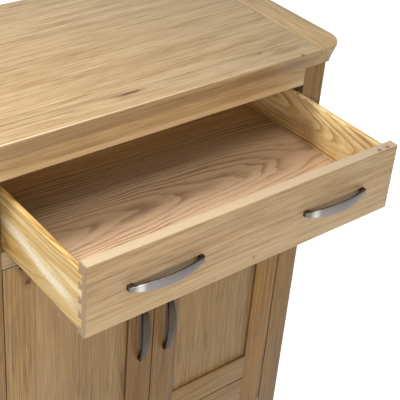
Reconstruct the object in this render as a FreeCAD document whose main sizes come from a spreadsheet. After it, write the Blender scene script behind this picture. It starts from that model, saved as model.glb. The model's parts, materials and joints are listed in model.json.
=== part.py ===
import FreeCAD, Part
import os
import Sketcher

# Sideboard in oak: one wide drawer, drawn out, over two doors that are shut.
# All lengths are in millimetres. X runs to the right as seen from the front, Y runs to the back,
# Z runs up, and the floor is Z = 0. The origin is the centre of the floor area that the piece
# covers as it stands, from the drawer's handles to the back of the top.

# Driving dimensions: each is set once here and bound everywhere else by name.
SIZES = (
    ("overall_height", 930, "floor to the surface of the top"),
    ("opening_width", 610, "clear width between the front posts"),
    ("carcass_depth", 400, "front face of the posts to the back face of the posts"),
    ("post_width", 50, "width of each post"),
    ("post_depth", 50, "depth of each post"),
    ("post_round", 1.5, "rounding of the posts' outer arrises"),
    ("foot_height", 36, "floor to the underside of the lowest rails"),
    ("glide_thickness", 3, "plastic glide under each post"),
    ("glide_radius", 13, "radius of the glides"),
    ("top_rail_height", 36, "front rail above the drawer"),
    ("middle_rail_height", 32, "front rail between drawer and doors"),
    ("bottom_rail_height", 34, "front rail under the doors"),
    ("front_rail_depth", 50, "depth of the three front rails"),
    ("back_rail_depth", 20, "thickness of the two back rails"),
    ("rail_tenon_length", 15, "tenons of the front and back rails"),
    ("rail_tenon_thickness", 10, "thickness of those tenons"),
    ("rail_tenon_shoulder", 5, "shoulder above and below those tenons"),
    ("mortise_end_gap", 1, "free length at the bottom of a mortise"),
    ("side_rail_height", 60, "rails at the top and bottom of each side"),
    ("side_rail_thickness", 22, "thickness of those rails"),
    ("side_rail_inset", 2, "side rails behind the outer face of the posts"),
    ("side_panel_thickness", 10, "panels in the sides"),
    ("side_panel_inset", 10, "side panels behind the outer face of the posts"),
    ("groove_depth", 8, "grooves that hold panels and stub tenons"),
    ("panel_edge_gap", 1, "room for a panel to swell in its groove"),
    ("back_panel_thickness", 6, "board that closes the back"),
    ("back_rebate_width", 10, "rebate in the back posts for that board"),
    ("bottom_board_thickness", 15, "floor of the cupboard"),
    ("board_gap", 0.2, "slack beside loose boards such as the floor and the shelf"),
    ("shelf_thickness", 16, "shelf in the cupboard"),
    ("shelf_height", 372, "floor to the underside of the shelf"),
    ("shelf_setback", 32, "front edge of the shelf behind the face of the posts"),
    ("shelf_back_gap", 2, "shelf to the back board"),
    ("peg_radius", 3, "shelf pegs"),
    ("peg_fit", 0.05, "radial slack of a peg in its hole"),
    ("peg_length", 20, "whole length of a peg"),
    ("peg_reach", 10, "length of a peg outside its hole"),
    ("top_thickness", 41, "edge of the top, with the lip under it"),
    ("top_panel_thickness", 20, "centre panel of the top"),
    ("top_front_overhang", 22, "top in front of the posts"),
    ("top_side_overhang", 25, "top beside the posts"),
    ("top_back_overhang", 6, "top behind the back posts"),
    ("top_strip_width", 48, "front strip of the top"),
    ("top_end_width", 63, "end pieces of the top"),
    ("top_corner_radius", 45, "front corners of the top, seen from above"),
    ("top_edge_flat", 5, "upright part of the edge above the bevel"),
    ("top_edge_round", 1.2, "rounding of the top arris"),
    ("lip_height", 4, "upright lip under the bevel"),
    ("lip_front_reach", 3, "lip in front of the posts"),
    ("lip_side_reach", 6, "lip beside the posts"),
    ("lip_corner_radius", 3, "front corners of the lip, seen from above"),
    ("top_tongue_thickness", 6, "tongue around the centre panel of the top"),
    ("front_gap", 2, "gap around the drawer front and the doors"),
    ("drawer_reach", 234, "how far the drawer stands out"),
    ("drawer_length", 390, "face of the drawer front to the back of the drawer"),
    ("drawer_front_height", 126, "height of the drawer front"),
    ("drawer_front_thickness", 17, "thickness of the drawer front"),
    ("drawer_front_round", 1.2, "rounding of the drawer front's arrises"),
    ("drawer_side_thickness", 10, "thickness of the drawer's sides"),
    ("drawer_side_drop", 13.5, "drawer sides below the top of the front"),
    ("drawer_side_lift", 8.5, "drawer sides above the bottom of the front"),
    ("drawer_side_round", 3, "rounding of the sides' top arrises"),
    ("dovetail_lap", 8, "wood of the front that covers the dovetails"),
    ("dovetail_root_width", 12, "width of a tail where it leaves the side"),
    ("dovetail_flare", 2.5, "how much a tail widens on each side"),
    ("drawer_back_thickness", 10, "thickness of the drawer's back"),
    ("drawer_back_drop", 6, "drawer back below the sides"),
    ("drawer_bottom_thickness", 5, "panel that closes the drawer's underside"),
    ("drawer_bottom_lift", 14.5, "that panel above the bottom of the sides"),
    ("drawer_groove_depth", 5, "groove for that panel"),
    ("drawer_panel_gap", 0.5, "slack of that panel in its groove"),
    ("running_gap", 0.3, "slack of the drawer between runners and kickers"),
    ("guide_gap", 0.5, "slack of the drawer between its side guides"),
    ("runner_height", 20, "height of the runners under the drawer's sides"),
    ("runner_reach", 2, "runners past the inner face of the drawer's sides"),
    ("guide_height", 55, "side guides above the runners"),
    ("kicker_height", 36, "strips above the drawer's sides"),
    ("drawer_stop_height", 8, "stops on the middle rail behind the drawer front"),
    ("drawer_stop_depth", 12, "depth of those stops"),
    ("drawer_stop_width", 30, "width of those stops"),
    ("drawer_stop_spacing", 420, "distance between those stops"),
    ("catch_block_thickness", 12, "blocks that keep the drawer from falling out"),
    ("catch_block_width", 30, "width of those blocks"),
    ("catch_block_height", 60, "height of those blocks"),
    ("catch_block_spacing", 300, "distance between those blocks"),
    ("catch_block_rise", 4, "those blocks above the drawer opening"),
    ("catch_block_clearance", 2, "those blocks below the back rail"),
    ("door_thickness", 18, "thickness of the doors' frames"),
    ("door_stile_width", 56, "upright members of a door"),
    ("door_top_rail_height", 56, "top rail of a door"),
    ("door_middle_rail_height", 61, "rail under the door panel"),
    ("door_bottom_rail_height", 92, "bottom rail of a door"),
    ("door_panel_thickness", 8, "panel of a door"),
    ("door_panel_recess", 5, "panel behind the face of the door"),
    ("door_arris_round", 1, "rounding of the doors' outer arrises"),
    ("rail_groove_width", 2.5, "groove along the joint of the two lower rails of a door"),
    ("rail_groove_depth", 4, "depth of that groove"),
    ("rail_chamfer", 0.8, "chamfers on both edges of that groove"),
    ("pivot_inset", 10, "hinge pin in from the outer edge of a door"),
    ("pivot_setback", 5, "hinge pin behind the face of a door"),
    ("pin_radius", 2.5, "hinge pins"),
    ("pin_length", 12, "length of a hinge pin"),
    ("pin_fit", 0.05, "radial slack of a hinge pin"),
    ("pin_end_gap", 1, "free length at the bottom of a pin's hole"),
    ("hinge_plate_length", 40, "hinge plates, along the width of the door"),
    ("hinge_plate_width", 8, "hinge plates, along the thickness of the door"),
    ("hinge_plate_gap", 0.2, "running gap between two hinge plates"),
    ("magnet_width", 40, "magnet catches"),
    ("magnet_depth", 14, "depth of the magnet catches"),
    ("magnet_height", 12, "height of the magnet catches"),
    ("magnet_gap", 0.2, "magnet to its plate"),
    ("catch_plate_width", 24, "steel plates that meet the magnets"),
    ("catch_plate_height", 12, "height of those plates"),
    ("catch_plate_thickness", 1, "thickness of those plates"),
    ("catch_plate_drop", 1.5, "those plates below the top of the door"),
    ("handle_length", 135, "whole length of a handle"),
    ("handle_projection", 20, "handle out of the wood"),
    ("handle_end_projection", 7.6, "shoulder of a handle's foot out of the wood"),
    ("handle_foot_length", 9, "length of each foot"),
    ("handle_foot_lean", 0.3, "how much a foot leans in towards the middle"),
    ("handle_strap_thickness", 3.2, "thickness of the bow"),
    ("handle_mid_width", 18, "width of the bow at its middle"),
    ("handle_end_width", 8, "width of the bow at its feet"),
    ("handle_round", 0.7, "rounding of the handle's long edges"),
    ("handle_shoulder_round", 5, "rounding where the bow turns down into a foot"),
    ("handle_offset", 168, "drawer handles from the middle of the drawer front"),
    ("drawer_handle_height", 61.8, "drawer handles above the bottom of the drawer front"),
    ("door_handle_height", 428.5, "floor to the middle of the door handles"),
    ("screw_spacing", 128, "handle screws, centre to centre"),
    ("screw_radius", 2, "handle screws"),
    ("screw_fit", 0.05, "radial slack of a screw in its foot"),
    ("screw_hole_slack", 0.25, "radial slack of a screw in the wood"),
    ("screw_bite", 4.5, "length of a screw inside the handle"),
    ("screw_head_radius", 4, "heads of the handle screws"),
    ("screw_head_height", 2.5, "height of those heads"),
)
DOVETAIL_COUNT = 4

doc = FreeCAD.newDocument("sideboard")
sheet = doc.addObject("Spreadsheet::Sheet", "sizes")
for row, (alias, value, meaning) in enumerate(SIZES, start=1):
    sheet.set(f"A{row}", meaning)
    sheet.set(f"B{row}", str(value))
    sheet.setAlias(f"B{row}", alias)
doc.recompute()

# Places worked out from the driving dimensions, as formulas that the pieces share.
WHOLE_REACH = "(sizes.drawer_reach + sizes.handle_projection)"
FACE = f"(({WHOLE_REACH} - sizes.carcass_depth - sizes.top_back_overhang) / 2)"
BACK = f"({FACE} + sizes.carcass_depth)"
HALF_OPENING = "(sizes.opening_width / 2)"
HALF_CARCASS = f"({HALF_OPENING} + sizes.post_width)"
BEHIND_FRONT_POST = f"({FACE} + sizes.post_depth)"
BEFORE_BACK_POST = f"({BACK} - sizes.post_depth)"
BACK_BOARD_FACE = f"({BACK} - sizes.back_panel_thickness)"
BACK_RAIL_FACE = f"({BACK_BOARD_FACE} - sizes.back_rail_depth)"
TOP_UNDERSIDE = "(sizes.overall_height - sizes.top_thickness)"
TOP_PANEL_UNDERSIDE = "(sizes.overall_height - sizes.top_panel_thickness)"
DRAWER_HOLE_TOP = f"({TOP_UNDERSIDE} - sizes.top_rail_height)"
DRAWER_HOLE_BOTTOM = f"({DRAWER_HOLE_TOP} - sizes.drawer_front_height - 2 * sizes.front_gap)"
DOOR_HOLE_TOP = f"({DRAWER_HOLE_BOTTOM} - sizes.middle_rail_height)"
DOOR_HOLE_BOTTOM = "(sizes.foot_height + sizes.bottom_rail_height)"
BACK_TOP_RAIL_BOTTOM = f"({DRAWER_HOLE_TOP} + sizes.catch_block_rise + sizes.catch_block_clearance)"
SIDE_PANEL_INNER = f"({HALF_CARCASS} - sizes.side_panel_inset - sizes.side_panel_thickness)"
SIDE_RAIL_INNER = f"({HALF_CARCASS} - sizes.side_rail_inset - sizes.side_rail_thickness)"

DRAWER_FACE = f"({FACE} - sizes.drawer_reach)"
HALF_DRAWER = f"({HALF_OPENING} - sizes.front_gap)"
HALF_DRAWER_INSIDE = f"({HALF_DRAWER} - sizes.drawer_side_thickness)"
DRAWER_FRONT_BOTTOM = f"({DRAWER_HOLE_BOTTOM} + sizes.front_gap)"
DRAWER_SIDE_BOTTOM = f"({DRAWER_FRONT_BOTTOM} + sizes.drawer_side_lift)"
DRAWER_SIDE_HEIGHT = "(sizes.drawer_front_height - sizes.drawer_side_drop - sizes.drawer_side_lift)"
DRAWER_BOTTOM_UNDERSIDE = f"({DRAWER_SIDE_BOTTOM} + sizes.drawer_bottom_lift)"
DRAWER_BOTTOM_TOP = f"({DRAWER_BOTTOM_UNDERSIDE} + sizes.drawer_bottom_thickness)"
DRAWER_BACK_FACE = f"({DRAWER_FACE} + sizes.drawer_length - sizes.drawer_back_thickness)"
DRAWER_HANDLE_HEIGHT = f"({DRAWER_FRONT_BOTTOM} + sizes.drawer_handle_height)"
RUNNER_TOP = f"({DRAWER_SIDE_BOTTOM} - sizes.running_gap)"
KICKER_BOTTOM = f"({DRAWER_SIDE_BOTTOM} + {DRAWER_SIDE_HEIGHT} + sizes.running_gap)"
RUNNER_INNER = f"({HALF_DRAWER_INSIDE} - sizes.runner_reach)"

DOOR_BOTTOM = f"({DOOR_HOLE_BOTTOM} + sizes.front_gap)"
DOOR_HEIGHT = f"({DOOR_HOLE_TOP} - {DOOR_HOLE_BOTTOM} - 2 * sizes.front_gap)"
DOOR_MEETING_EDGE = "(sizes.front_gap / 2)"
DOOR_OUTER_EDGE = f"({HALF_OPENING} - sizes.front_gap)"
DOOR_RAIL_START = f"({DOOR_MEETING_EDGE} + sizes.door_stile_width)"
DOOR_RAIL_END = f"({DOOR_OUTER_EDGE} - sizes.door_stile_width)"
DOOR_RAIL_LENGTH = f"({DOOR_RAIL_END} - {DOOR_RAIL_START})"
DOOR_SCREW_LEVELS = [f"(sizes.door_handle_height + {screw} * sizes.screw_spacing / 2)" for screw in (-1, 1)]
HINGE_PLATE_THICKNESS = "((sizes.front_gap - sizes.hinge_plate_gap) / 2)"
PIVOT_X = f"({DOOR_OUTER_EDGE} - sizes.pivot_inset)"
PIVOT_Y = f"({FACE} + sizes.pivot_setback)"

LEFT = -1
RIGHT = 1
SIDE_NAMES = {LEFT: "left", RIGHT: "right"}
parts_in_order = []


def bind(item, formulas):
    for name, formula in formulas.items():
        item.setExpression(name, formula)


def place(item, corner):
    bind(item, {f"Placement.Base.{axis}": formula for axis, formula in zip("xyz", corner)})


def keep(item, label):
    item.Label = label
    parts_in_order.append(item)
    return item


def new_body(label, corner):
    body = doc.addObject("PartDesign::Body", label)
    place(body, corner)
    return keep(body, label)


def new_sketch(body, role, offset=None):
    sketch = body.newObject("Sketcher::SketchObject", f"{body.Name}_sketch")
    plane = next(item for item in body.Origin.OriginFeatures if item.Role == role)
    sketch.AttachmentSupport = [(plane, "")]
    sketch.MapMode = "FlatFace"
    if offset:
        bind(sketch, {"AttachmentOffset.Base.z": offset})
    return sketch


def pin_point(sketch, line, end, point):
    """Ties one end of a line to a place given by two formulas; "0" means on the axis."""
    for kind, formula, axis in (("DistanceX", point[0], -2), ("DistanceY", point[1], -1)):
        if formula == "0":
            sketch.addConstraint(Sketcher.Constraint("PointOnObject", line, end, axis))
        else:
            distance = Sketcher.Constraint(kind, -1, 1, line, end, value_of(formula))
            index = sketch.addConstraint(distance)
            bind(sketch, {f"Constraints[{index}]": formula})


def value_of(formula):
    return float(sheet.evalExpression(formula))


def add_outline(sketch, points, arcs=()):
    """Draws a closed outline. A side listed in arcs bulges through the point given for it."""
    arcs = dict(arcs)
    spots = [FreeCAD.Vector(value_of(x), value_of(y), 0) for x, y in points]
    first = sketch.GeometryCount
    sides = len(points)
    for side in range(sides):
        start = spots[side]
        finish = spots[(side + 1) % sides]
        if side in arcs:
            through = FreeCAD.Vector(value_of(arcs[side][0]), value_of(arcs[side][1]), 0)
            sketch.addGeometry(Part.Arc(start, through, finish))
        else:
            sketch.addGeometry(Part.LineSegment(start, finish))
    ends = [drawn_ends(sketch, first + side, spots[side]) for side in range(sides)]
    for side in range(sides):
        after = (side + 1) % sides
        join = Sketcher.Constraint("Coincident", first + side, ends[side][1], first + after, ends[after][0])
        sketch.addConstraint(join)
        pin_point(sketch, first + side, ends[side][0], points[side])
    for side, through in arcs.items():
        spot = FreeCAD.Vector(value_of(through[0]), value_of(through[1]), 0)
        guide = sketch.addGeometry(Part.Point(spot), True)
        pin_point(sketch, guide, 1, through)
        sketch.addConstraint(Sketcher.Constraint("PointOnObject", guide, 1, first + side))


def drawn_ends(sketch, index, start):
    """An arc is kept anticlockwise, so its first point may be the outline's second one."""
    if sketch.getPoint(index, 1).distanceToPoint(start) < 1e-6:
        return 1, 2
    return 2, 1


def pad(body, sketch, length, midplane=False):
    feature = body.newObject("PartDesign::Pad", f"{body.Name}_pad")
    feature.Profile = sketch
    bind(feature, {"Length": length})
    feature.Midplane = midplane
    return feature


def rectangle(width, depth):
    return (("0", "0"), (width, "0"), (width, depth), ("0", depth))


def board(label, corner, size):
    """A straight board: corner is its lowest corner, size its lengths along X, Y and Z."""
    body = new_body(label, corner)
    sketch = new_sketch(body, "XY_Plane")
    add_outline(sketch, rectangle(size[0], size[1]))
    pad(body, sketch, size[2])
    return body


def box_feature(body, kind, corner, size):
    feature = body.newObject(f"PartDesign::{kind}Box", f"{body.Name}_{kind.lower()}")
    place(feature, corner)
    bind(feature, {"Length": size[0], "Width": size[1], "Height": size[2]})


def cut_box(body, corner, size):
    box_feature(body, "Subtractive", corner, size)


def add_box(body, corner, size):
    box_feature(body, "Additive", corner, size)


def drill(body, corner, radius, depth, direction):
    """A round hole that starts at corner and runs along direction."""
    hole = body.newObject("PartDesign::SubtractiveCylinder", f"{body.Name}_hole")
    hole.Placement = FreeCAD.Placement(
        FreeCAD.Vector(), FreeCAD.Rotation(FreeCAD.Vector(0, 0, 1), FreeCAD.Vector(*direction))
    )
    place(hole, corner)
    bind(hole, {"Radius": radius, "Height": depth})


def dress_edges(body, kind, wanted, formulas):
    """Adds a Fillet or Chamfer on the edges of the body so far that wanted picks."""
    doc.recompute()
    base = body.Tip
    names = [f"Edge{number}" for number, edge in enumerate(base.Shape.Edges, start=1) if wanted(edge)]
    feature = body.newObject(f"PartDesign::{kind}", f"{body.Name}_{kind.lower()}")
    feature.Base = (base, names)
    bind(feature, formulas)
    return feature


def round_edges(body, radius, wanted):
    dress_edges(body, "Fillet", wanted, {"Radius": radius})


def runs_along(edge, axis):
    """True for a straight edge that is parallel to the axis x, y or z."""
    if edge.Curve.TypeId != "Part::GeomLine":
        return False
    return abs(getattr(edge.Curve.Direction, axis)) > 0.999


def lies_at(edge, axis, place_on_axis):
    return abs(getattr(edge.CenterOfMass, axis) - place_on_axis) < 0.01


def from_outside(side, width, start, length):
    """Local place of a cut that starts start in from the outer face of a piece width wide."""
    return start if side == LEFT else f"({width}) - ({start}) - ({length})"


def at_side(side, inner, outer):
    """Lowest X of a piece that lies between inner and outer from the middle plane."""
    return f"(-({outer}))" if side == LEFT else inner


# Posts, with their grooves, mortises and peg holes.
def front_rail_places():
    return (
        (DRAWER_HOLE_TOP, "sizes.top_rail_height"),
        (DOOR_HOLE_TOP, "sizes.middle_rail_height"),
        ("sizes.foot_height", "sizes.bottom_rail_height"),
    )


def back_rail_places():
    top_height = f"({TOP_UNDERSIDE} - {BACK_TOP_RAIL_BOTTOM})"
    return ((BACK_TOP_RAIL_BOTTOM, top_height), ("sizes.foot_height", "sizes.bottom_rail_height"))


# Places within a post, back from its front face.
BACK_MORTISE_Y = f"({BACK_RAIL_FACE} - {BEFORE_BACK_POST} + sizes.back_rail_depth / 2)"
PEG_Y = {
    "front": "(sizes.shelf_setback + (sizes.post_depth - sizes.shelf_setback) / 2)",
    "back": "(sizes.post_depth / 4)",
}


def tenon_height(rail_height):
    return f"({rail_height} - 2 * sizes.rail_tenon_shoulder)"


def make_post(side, row):
    label = f"{row}_{SIDE_NAMES[side]}_post"
    is_front = row == "front"
    start_y = FACE if is_front else BEFORE_BACK_POST
    corner = (at_side(side, HALF_OPENING, HALF_CARCASS), start_y, "sizes.glide_thickness")
    height = f"({TOP_UNDERSIDE} - sizes.glide_thickness)"
    body = board(label, corner, ("sizes.post_width", "sizes.post_depth", height))
    foot = "(sizes.foot_height - sizes.glide_thickness)"

    width = "sizes.post_width"
    groove_x = from_outside(side, width, "sizes.side_panel_inset", "sizes.side_panel_thickness")
    groove_y = "(sizes.post_depth - sizes.groove_depth)" if is_front else "0"
    groove_size = ("sizes.side_panel_thickness", "sizes.groove_depth", f"({height} - {foot})")
    cut_box(body, (groove_x, groove_y, foot), groove_size)

    places = front_rail_places() if is_front else back_rail_places()
    depth = "(sizes.rail_tenon_length + sizes.mortise_end_gap)"
    mortise_x = from_outside(side, width, f"({width} - {depth})", depth)
    middle = "(sizes.front_rail_depth / 2)" if is_front else BACK_MORTISE_Y
    for bottom, rail_height in places:
        mortise_z = f"({bottom} + sizes.rail_tenon_shoulder - sizes.glide_thickness)"
        mortise_corner = (mortise_x, f"({middle} - sizes.rail_tenon_thickness / 2)", mortise_z)
        cut_box(body, mortise_corner, (depth, "sizes.rail_tenon_thickness", tenon_height(rail_height)))

    if not is_front:
        rebate_start = f"({width} - sizes.back_rebate_width)"
        rebate_x = from_outside(side, width, rebate_start, "sizes.back_rebate_width")
        rebate_corner = (rebate_x, "(sizes.post_depth - sizes.back_panel_thickness)", foot)
        rebate_size = ("sizes.back_rebate_width", "sizes.back_panel_thickness", f"({height} - {foot})")
        cut_box(body, rebate_corner, rebate_size)

    hole_start = width if side == LEFT else "0"
    hole_z = "(sizes.shelf_height - sizes.peg_radius - sizes.glide_thickness)"
    hole_depth = "(sizes.peg_length - sizes.peg_reach)"
    inward = (-1, 0, 0) if side == LEFT else (1, 0, 0)
    drill(body, (hole_start, PEG_Y[row], hole_z), "(sizes.peg_radius + sizes.peg_fit)", hole_depth, inward)

    outer_x = 0.0 if side == LEFT else value_of(width)

    def on_outer_arris(edge):
        return runs_along(edge, "z") and lies_at(edge, "x", outer_x)

    round_edges(body, "sizes.post_round", on_outer_arris)


def make_crossrail(label, start_y, depth, bottom, height):
    """A rail between two posts, with a tenon at each end."""
    body = board(label, (f"(-{HALF_OPENING})", start_y, bottom), ("sizes.opening_width", depth, height))
    tenon_y = f"({depth} / 2 - sizes.rail_tenon_thickness / 2)"
    tenon_size = ("sizes.rail_tenon_length", "sizes.rail_tenon_thickness", tenon_height(height))
    for start_x in ("(-sizes.rail_tenon_length)", "sizes.opening_width"):
        add_box(body, (start_x, tenon_y, "sizes.rail_tenon_shoulder"), tenon_size)
    return body


# Sides: two rails and a panel, held in the grooves of the posts.
SIDE_SPAN = f"({BEFORE_BACK_POST} - {BEHIND_FRONT_POST})"


def make_side_rail(side, level):
    label = f"{SIDE_NAMES[side]}_side_{level}_rail"
    outer = f"({HALF_CARCASS} - sizes.side_rail_inset)"
    bottom = "sizes.foot_height" if level == "bottom" else f"({TOP_UNDERSIDE} - sizes.side_rail_height)"
    corner = (at_side(side, SIDE_RAIL_INNER, outer), BEHIND_FRONT_POST, bottom)
    body = board(label, corner, ("sizes.side_rail_thickness", SIDE_SPAN, "sizes.side_rail_height"))
    tongue_inset = "(sizes.side_panel_inset - sizes.side_rail_inset)"
    tongue_x = from_outside(side, "sizes.side_rail_thickness", tongue_inset, "sizes.side_panel_thickness")
    tenon_size = ("sizes.side_panel_thickness", "sizes.groove_depth", "sizes.side_rail_height")
    for start_y in ("(-sizes.groove_depth)", SIDE_SPAN):
        add_box(body, (tongue_x, start_y, "0"), tenon_size)
    groove_z = "(sizes.side_rail_height - sizes.groove_depth)" if level == "bottom" else "0"
    groove_length = f"({SIDE_SPAN} + 2 * sizes.groove_depth)"
    groove_size = ("sizes.side_panel_thickness", groove_length, "sizes.groove_depth")
    cut_box(body, (tongue_x, "(-sizes.groove_depth)", groove_z), groove_size)


def make_side_panel(side):
    outer = f"({HALF_CARCASS} - sizes.side_panel_inset)"
    tongue = "(sizes.groove_depth - sizes.panel_edge_gap)"
    bottom = f"(sizes.foot_height + sizes.side_rail_height - {tongue})"
    height = f"({TOP_UNDERSIDE} - sizes.side_rail_height + {tongue} - {bottom})"
    corner = (at_side(side, SIDE_PANEL_INNER, outer), f"({BEHIND_FRONT_POST} - {tongue})", bottom)
    size = ("sizes.side_panel_thickness", f"({SIDE_SPAN} + 2 * {tongue})", height)
    board(f"{SIDE_NAMES[side]}_side_panel", corner, size)


# Boards inside the carcass.
def make_bottom_board():
    """The cupboard floor fills the width between the side rails and steps in at the posts."""
    wide = f"({SIDE_RAIL_INNER} - sizes.board_gap)"
    narrow = f"({HALF_OPENING} - sizes.board_gap)"
    straight = f"({BEFORE_BACK_POST} - sizes.board_gap - {BEHIND_FRONT_POST})"
    whole = f"({BACK_RAIL_FACE} - {BEHIND_FRONT_POST})"
    bottom = f"({DOOR_HOLE_BOTTOM} - sizes.bottom_board_thickness)"
    body = new_body("bottom_board", ("0", BEHIND_FRONT_POST, bottom))
    sketch = new_sketch(body, "XY_Plane")
    points = (
        (f"(-{wide})", "sizes.board_gap"),
        (wide, "sizes.board_gap"),
        (wide, straight),
        (narrow, straight),
        (narrow, whole),
        (f"(-{narrow})", whole),
        (f"(-{narrow})", straight),
        (f"(-{wide})", straight),
    )
    add_outline(sketch, points)
    pad(body, sketch, "sizes.bottom_board_thickness")


def make_back_panel():
    half = f"({HALF_OPENING} + sizes.back_rebate_width - sizes.board_gap)"
    corner = (f"(-{half})", BACK_BOARD_FACE, "sizes.foot_height")
    height = f"({TOP_PANEL_UNDERSIDE} - sizes.foot_height)"
    board("back_panel", corner, (f"(2 * {half})", "sizes.back_panel_thickness", height))


def make_shelf():
    half = f"({HALF_OPENING} - sizes.board_gap)"
    depth = f"({BACK_BOARD_FACE} - sizes.shelf_back_gap - {FACE} - sizes.shelf_setback)"
    corner = (f"(-{half})", f"({FACE} + sizes.shelf_setback)", "sizes.shelf_height")
    board("shelf", corner, (f"(2 * {half})", depth, "sizes.shelf_thickness"))


def make_runner(side):
    """A ledge under the drawer side, with a guide beside it."""
    width = f"({SIDE_PANEL_INNER} - {RUNNER_INNER})"
    bottom = f"({RUNNER_TOP} - sizes.runner_height)"
    corner = (at_side(side, RUNNER_INNER, SIDE_PANEL_INNER), BEHIND_FRONT_POST, bottom)
    body = board(f"{SIDE_NAMES[side]}_drawer_runner", corner, (width, SIDE_SPAN, "sizes.runner_height"))
    guide_width = f"({SIDE_PANEL_INNER} - {HALF_DRAWER} - sizes.guide_gap)"
    guide_x = from_outside(side, width, "0", guide_width)
    add_box(body, (guide_x, "0", "sizes.runner_height"), (guide_width, SIDE_SPAN, "sizes.guide_height"))


def make_kicker(side):
    width = f"({SIDE_RAIL_INNER} - {RUNNER_INNER})"
    corner = (at_side(side, RUNNER_INNER, SIDE_RAIL_INNER), BEHIND_FRONT_POST, KICKER_BOTTOM)
    board(f"{SIDE_NAMES[side]}_drawer_kicker", corner, (width, SIDE_SPAN, "sizes.kicker_height"))


# The top: a centre panel with a front strip and two end pieces that carry the bevelled edge.
BEVEL_RISE = "(sizes.top_thickness - sizes.lip_height - sizes.top_edge_flat)"
TOP_FRONT = f"({FACE} - sizes.top_front_overhang)"
TOP_BACK = f"({BACK} + sizes.top_back_overhang)"
TOP_DEPTH = f"({TOP_BACK} - {TOP_FRONT})"
HALF_TOP = f"({HALF_CARCASS} + sizes.top_side_overhang)"
HALF_TOP_PANEL = f"({HALF_TOP} - sizes.top_end_width)"
LIP_SETBACK = "(sizes.top_front_overhang - sizes.lip_front_reach)"
LIP_SIDE_SETBACK = "(sizes.top_side_overhang - sizes.lip_side_reach)"
TOP_TONGUE_Z = "(sizes.top_thickness - sizes.top_panel_thickness / 2 - sizes.top_tongue_thickness / 2)"


def corner_outline(body, level, side, edge_in, front, radius):
    """Sketch of an end piece of the top at one level, with its front outer corner rounded."""
    width = "sizes.top_end_width"
    turn = f"{radius} * (1 - sqrt(2) / 2)"
    outer, inner, way = (edge_in, width, 1) if side == LEFT else (f"({width} - {edge_in})", "0", -1)
    points = (
        (inner, front),
        (f"({outer} + {way} * {radius})", front),
        (outer, f"({front} + {radius})"),
        (outer, TOP_DEPTH),
        (inner, TOP_DEPTH),
    )
    sketch = new_sketch(body, "XY_Plane", level)
    add_outline(sketch, points, {1: (f"({outer} + {way} * {turn})", f"({front} + {turn})")})
    return sketch


def make_top_end(side):
    """The bevel runs from the large round corner above to the nearly square corner of the lip."""
    width = "sizes.top_end_width"
    start_x = at_side(side, HALF_TOP_PANEL, HALF_TOP)
    body = new_body(f"top_{SIDE_NAMES[side]}_end", (start_x, TOP_FRONT, TOP_UNDERSIDE))
    edge_level = "(sizes.top_thickness - sizes.top_edge_flat)"
    lower = corner_outline(
        body, "sizes.lip_height", side, LIP_SIDE_SETBACK, LIP_SETBACK, "sizes.lip_corner_radius"
    )
    upper = corner_outline(body, edge_level, side, "0", "0", "sizes.top_corner_radius")
    bevelled = body.newObject("PartDesign::AdditiveLoft", f"{body.Name}_bevel")
    bevelled.Profile = lower
    bevelled.Sections = [upper]
    bevelled.Ruled = True
    pad(body, upper, "sizes.top_edge_flat")
    lip = pad(body, lower, "sizes.lip_height")
    lip.Reversed = True

    top_z = value_of("sizes.top_thickness")
    inner_x = value_of(width) if side == LEFT else 0.0
    depth = value_of(TOP_DEPTH)

    def on_top_arris(edge):
        centre = edge.CenterOfMass
        on_level = abs(centre.z - top_z) < 0.01 and edge.BoundBox.ZLength < 0.01
        return on_level and abs(centre.x - inner_x) > 0.01 and abs(centre.y - depth) > 0.01

    round_edges(body, "sizes.top_edge_round", on_top_arris)
    tongue_x = from_outside(side, width, f"({width} - sizes.groove_depth)", "sizes.groove_depth")
    groove_y = "(sizes.top_strip_width - sizes.groove_depth)"
    groove_size = ("sizes.groove_depth", f"({TOP_DEPTH} - {groove_y})", "sizes.top_tongue_thickness")
    cut_box(body, (tongue_x, groove_y, TOP_TONGUE_Z), groove_size)


def make_top_front_strip():
    length = f"(2 * {HALF_TOP_PANEL})"
    body = new_body("top_front_strip", (f"(-{HALF_TOP_PANEL})", TOP_FRONT, TOP_UNDERSIDE))
    upper = new_sketch(body, "XY_Plane", "sizes.lip_height")
    add_outline(upper, rectangle(length, "sizes.top_strip_width"))
    pad(body, upper, "(sizes.top_thickness - sizes.lip_height)")
    lip_z = value_of("sizes.lip_height")
    top_z = value_of("sizes.top_thickness")

    def on_front_edge(edge, level):
        return runs_along(edge, "x") and lies_at(edge, "y", 0.0) and lies_at(edge, "z", level)

    bevel_sizes = {"Size": BEVEL_RISE, "Size2": LIP_SETBACK}
    bevel = dress_edges(body, "Chamfer", lambda edge: on_front_edge(edge, lip_z), bevel_sizes)
    bevel.ChamferType = "Two distances"
    round_edges(body, "sizes.top_edge_round", lambda edge: on_front_edge(edge, top_z))
    lip_size = (length, f"(sizes.top_strip_width - {LIP_SETBACK})", "sizes.lip_height")
    add_box(body, ("0", LIP_SETBACK, "0"), lip_size)
    groove_y = "(sizes.top_strip_width - sizes.groove_depth)"
    groove_size = (length, "sizes.groove_depth", "sizes.top_tongue_thickness")
    cut_box(body, ("0", groove_y, TOP_TONGUE_Z), groove_size)


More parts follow.
